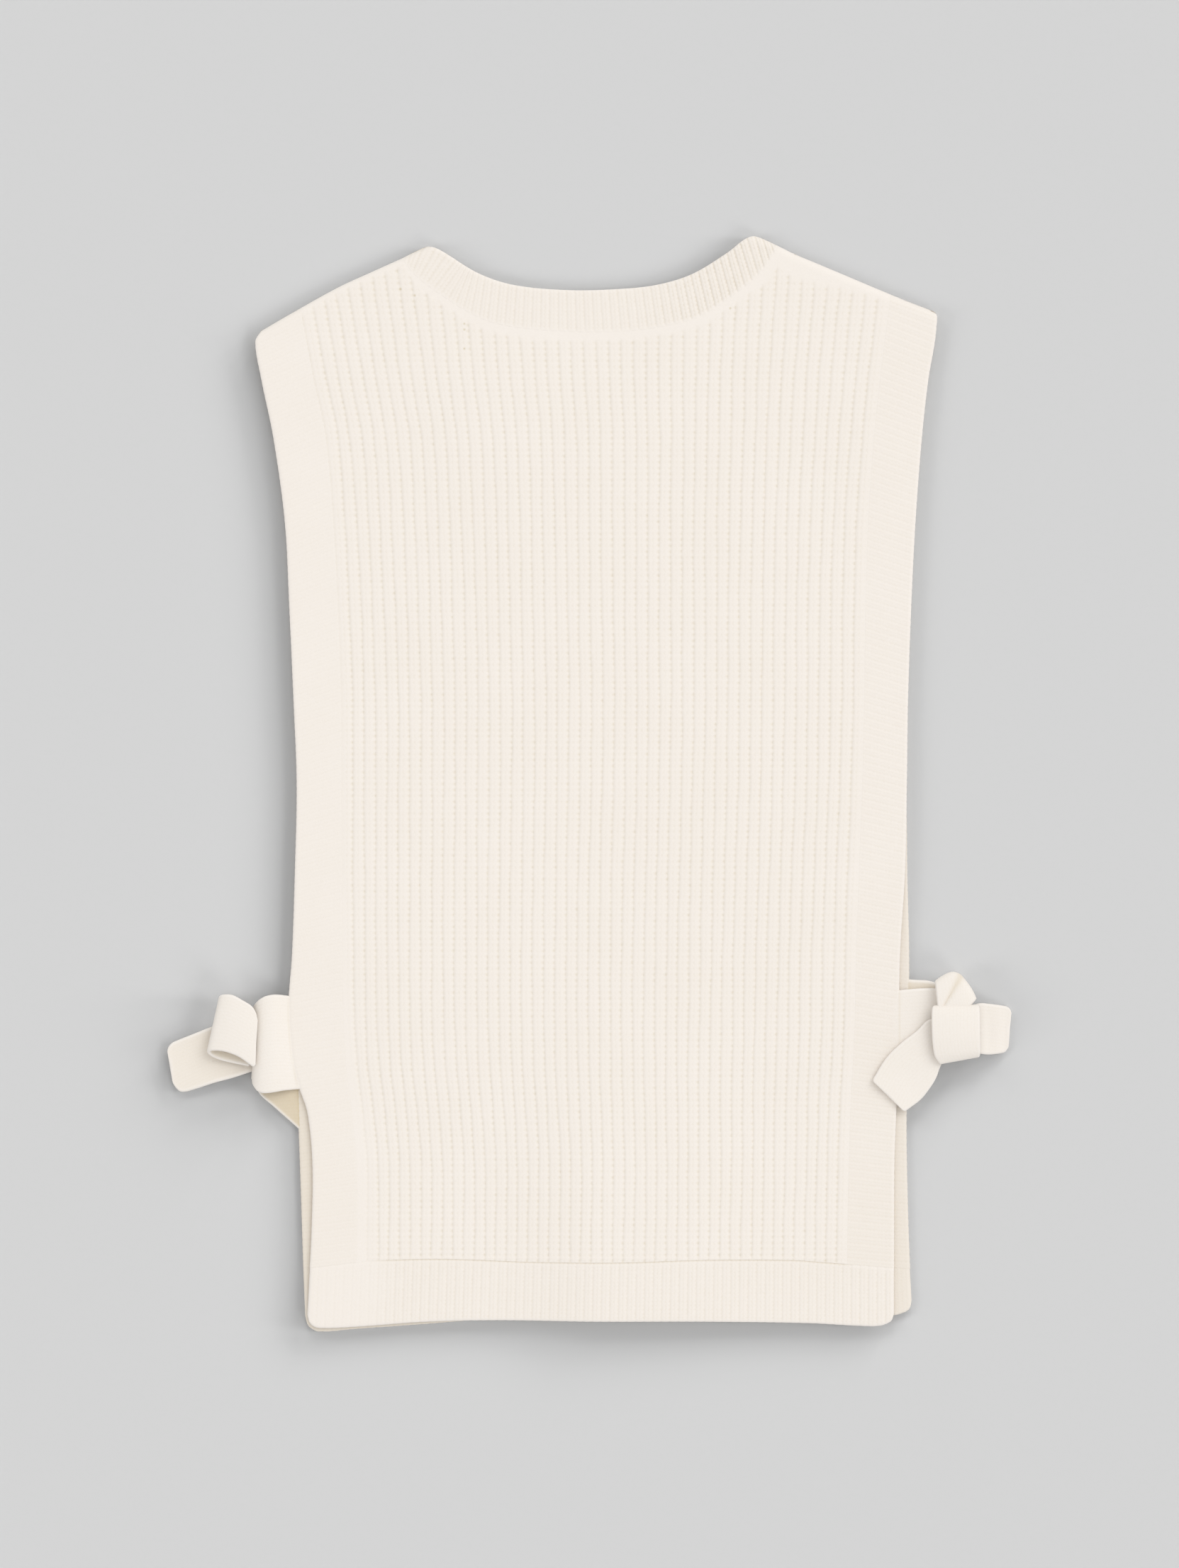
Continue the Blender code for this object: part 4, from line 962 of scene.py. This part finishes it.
# The flat size that each piece was knitted to, in metres, and its area where that isn't a rectangle.
Cut = namedtuple("Cut", "slot width length area", defaults=[None])
TRIM_CUT = Cut("band_knit", 0.030, 0.57)
CUTS = {
    "back_body": Cut("body_knit", 0.37, 0.60, 0.185),
    "front_body": Cut("body_knit", 0.37, 0.60, 0.175),
    "back_trim_left": TRIM_CUT,
    "back_trim_right": TRIM_CUT,
    "front_trim_left": TRIM_CUT,
    "front_trim_right": TRIM_CUT,
    "back_hem_band": Cut("band_knit", 0.348, 0.038),
    "front_hem_band": Cut("band_knit", 0.360, 0.038),
    "back_neckband": Cut("band_knit", 0.25, 0.026),
    "front_neckband": Cut("band_knit", 0.36, 0.026),
    "tie_left_back_strap": Cut("tie_knit", 0.055, 0.036),
    "tie_left_front_strap": Cut("tie_knit", 0.060, 0.032, 0.0014),
    "tie_left_loop": Cut("tie_knit", 0.035, 0.062),
    "tie_left_tail": Cut("tie_knit", 0.033, 0.052),
    "tie_right_back_strap": Cut("tie_knit", 0.044, 0.035),
    "tie_right_front_strap": Cut("tie_knit", 0.045, 0.027),
    "tie_right_knot": Cut("tie_knit", 0.028, 0.040),
    "tie_right_out_tail": Cut("tie_knit", 0.028, 0.036),
    "tie_right_down_tail": Cut("tie_knit", 0.030, 0.062),
    "tie_right_fold": Cut("tie_knit", 0.027, 0.036, 0.00085),
}


def dress(piece, node):
    """The piece takes its CAD node's place."""
    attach(piece, "root")
    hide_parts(node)


def body_stitches(u, v, x, y):
    return u * BODY_RIBS, y / STITCH


def band_stitches(ribs, width, u, v, x, y):
    return u * ribs, v * width / BAND_STITCH


def make_panel(word, panel, face):
    def knit(part, plan, heights, stitches, fine, plain):
        node = word + "_" + part
        wall = make_wall("knit_" + node, face, plan, *heights, fine, plain, stitches, KNIT[CUTS[node].slot])
        dress(wall, node)

    half_rows = np.arange(int(HEM_Y * 2 / STITCH), int(RIGHT_SHOULDER[0][1] * 2 / STITCH) + 1) * STITCH / 2
    rows_at_top = FROM_TOP - np.array(FOLD_STEPS[::-1])
    rows = np.concatenate((FROM_HEM + np.array(SEAM_STEPS), half_rows, rows_at_top))
    plain_rows = np.concatenate(([FROM_HEM], half_rows[::PLAIN_ROWS_APART], [FROM_TOP]))
    fine, plain = (body_columns(panel), rows), (np.linspace(0, 1, BODY_RIBS + 1), plain_rows)
    heights = partial(body_height, panel), partial(body_under, panel)
    knit("body", panel.body, heights, body_stitches, fine, plain)

    grid = rimmed(rib_shares(TRIM_RIBS, TRIM_PLACES)), spaced_rows(TRIM_WIDTH, EDGE_STEPS, SEAM_STEPS)
    stitches = partial(band_stitches, TRIM_RIBS, TRIM_WIDTH)
    for side in ("left", "right"):
        heights = partial(trim_height, panel, side), trim_under
        knit("trim_" + side, partial(panel.trim, side), heights, stitches, grid, grid)

    grid = rib_shares(HEM_RIBS, BAND_PLACES), spaced_rows(HEM_WIDTH, EDGE_STEPS, SEAM_STEPS)
    heights = partial(hem_height, panel), partial(hem_under, panel)
    knit("hem_band", panel.hem_band, heights, partial(band_stitches, HEM_RIBS, HEM_WIDTH), grid, grid)

    rows = spaced_rows(NECK_WIDTH, SEAM_STEPS, EDGE_STEPS)
    fine, plain = ((rib_shares(NECK_RIBS, places), rows) for places in (BAND_PLACES, (0,)))
    heights = partial(neck_height, panel), partial(neck_under, panel)
    knit("neckband", panel.neckband, heights, partial(band_stitches, NECK_RIBS, NECK_WIDTH), fine, plain)


def tie_middle(name):
    """The points in the middle of a tie's wall. A strap starts inside its panel's edge."""
    table = np.array(TIES[name])
    sections = np.arange(len(table))

    def fields(t):
        return np.stack([curve(sections, column)(t) for column in table.T], axis=-1)

    samples = np.linspace(0, sections[-1], TIE_SAMPLES)
    centre = (fields(samples)[:, :3] + fields(samples)[:, 3:6]) / 2
    from_start = np.append(0, np.cumsum(np.linalg.norm(np.diff(centre, axis=0), axis=-1)))
    length, width = from_start[-1], np.linalg.norm(table[:, :3] - table[:, 3:6], axis=-1).max()
    rows, columns = (spaced_rows(size, TIE_EDGE_STEPS, TIE_EDGE_STEPS, TIE_STEP) for size in (length, width))
    t = np.interp(rows * length, from_start, samples)
    s = columns[None, :, None]
    at_rows = fields(t)[:, None, :]
    middle = mix(at_rows[..., :3], at_rows[..., 3:6], s)
    middle[..., 2] += (at_rows[..., 6:] * 4 * s * (1 - s))[..., 0]
    if name in ROOTS:
        word, side, blend = ROOTS[name]
        inwards = TIE_ROOT if side == "left" else -TIE_ROOT
        bow = PANELS[word].edge[side](middle[0, :, 1]) + inwards - middle[0, :, 0]
        middle[..., 0] += bow * np.clip(1 - t[:, None] / blend, 0, 1)
    return round_corners(middle, TIE_CORNERS[name]) if name in TIE_CORNERS else middle


def crease(s):
    """1 along the middle of the right tie's fold to 0 beside it."""
    return bell(s - 0.5, CREASE_WIDTH)


def fold_middle():
    """The middle of the right tie's fold: a fan of columns from the knot's corner out to its rim and back."""
    s = np.linspace(0, 1, RIGHT_FOLD_COLUMNS)
    rim_x, rim_y = path(RIGHT_FOLD_RIM)(s)
    rows = []
    for root_y, power, reach, rise, depth in RIGHT_FOLD_STEPS:
        root_x = mix(*RIGHT_FOLD_ROOT, s**power)
        z = RIGHT_FOLD_Z + rise - depth * crease(s)
        rows.append(np.stack((mix(root_x, rim_x, reach), mix(root_y, rim_y, reach), z), axis=-1))
    rows = np.array(rows)
    steps = np.arange(len(rows))
    t = np.linspace(0, steps[-1], RIGHT_FOLD_ROWS)
    columns = [[curve(steps, rows[:, i, axis])(t) for axis in range(3)] for i in range(len(s))]
    return np.array(columns).transpose(2, 0, 1)


def make_ties():
    ribbon = partial(make_ribbon, wall=TIE_WALL, material=KNIT["tie_knit"])
    for name in TIES:
        middle = tie_middle(name)
        # The painted shade on each side of a tie.
        shades = TIE_PAINTED_SHADES.get(name, (UNSHADED, UNSHADED))
        darks = [np.linspace(*ends, len(middle))[:, None] for ends in shades]
        dress(ribbon("knit_" + name, middle, rooted=name in ROOTS, darks=darks), name)
    # Painted shade along the fold's crease, on both its sides.
    dark = CREASE_PAINTED_SHADE * crease(np.linspace(0, 1, RIGHT_FOLD_COLUMNS))
    fold = ribbon("knit_tie_right_fold", fold_middle(), rooted=False, darks=(dark, dark))
    dress(fold, "tie_right_fold")


PANELS = {
    "back": Panel(BACK_SIDES, BACK_NECK_SEAM, BACK_NECK_EDGE, BACK_BOTTOM),
    "front": Panel(FRONT_SIDES, FRONT_NECK_SEAM, FRONT_NECK_EDGE, FRONT_BOTTOM),
}
make_panel("back", PANELS["back"], BACK_FACE)
make_panel("front", PANELS["front"], FRONT_FACE)
make_ties()

# ---- floor, camera and light

FLOOR_SIZE, FLOOR_SHADE = 8.0, 0.378
CAMERA_HEIGHT, CAMERA_LENS, CAMERA_SENSOR = 3.876, 100, 24
WORLD_SHADE = 0.35
# Each sun: what it lights, the direction that it comes from, its height above the floor, width and strength.
Sun = namedtuple("Sun", "lights azimuth elevation width strength")
SUNS = [
    Sun("floor", 45, 88, 20, 0.53),
    Sun("cloth", 45, 45, 40, 0.85),
    Sun("cloth", 45, 88, 180, 1.8),
    *(Sun("floor", azimuth, 12.5, 12, 1.5) for azimuth in (45, 27, 63, 90)),
    Sun("floor", 90, 28, 24, 1.27),
    Sun("floor", 0, 28, 24, 1.18),
    Sun("floor", 135, 28, 24, 1.18),
    Sun("floor", 315, 28, 24, 0.92),
    Sun("floor", 255, 22, 22, 1.2),
]


def make_floor():
    mesh = bpy.data.meshes.new("floor")
    reach = FLOOR_SIZE / 2
    corners = [(-reach, -reach, 0), (reach, -reach, 0), (reach, reach, 0), (-reach, reach, 0)]
    mesh.from_pydata(corners, [], [(0, 1, 2, 3)])
    shade = (FLOOR_SHADE, FLOOR_SHADE, FLOOR_SHADE, 1)
    matt_paper = {"Base Color": shade, "Roughness": 1.0, "Specular IOR Level": 0.0}
    mesh.materials.append(new_material("floor_paper", matt_paper)[0])
    floor = show("floor", mesh)
    return floor


def make_suns(floor):
    groups = {name: bpy.data.collections.new("lit_" + name) for name in ("floor", "cloth")}
    groups["floor"].objects.link(floor)
    for obj in SCENE.objects:
        if obj.name.startswith("knit_"):
            groups["cloth"].objects.link(obj)
    for sun in SUNS:
        light = bpy.data.lights.new("sun", "SUN")
        light.energy = sun.strength
        light.angle = radians(sun.width)
        obj = show("sun", light)
        obj.rotation_euler = (radians(90 - sun.elevation), 0, radians(180 - sun.azimuth))
        obj.light_linking.receiver_collection = groups[sun.lights]


def make_camera():
    camera = bpy.data.cameras.new("camera")
    camera.lens = CAMERA_LENS
    camera.sensor_fit = "VERTICAL"
    camera.sensor_height = CAMERA_SENSOR
    obj = show("camera", camera)
    obj.location = (0, 0, CAMERA_HEIGHT)
    SCENE.camera = obj


make_suns(make_floor())
make_camera()
SCENE.world = bpy.data.worlds.new("studio")
SCENE.world.use_nodes = True
background = SCENE.world.node_tree.nodes["Background"]
background.inputs["Color"].default_value = (WORLD_SHADE, WORLD_SHADE, WORLD_SHADE, 1)
SCENE.view_settings.view_transform = "Standard"
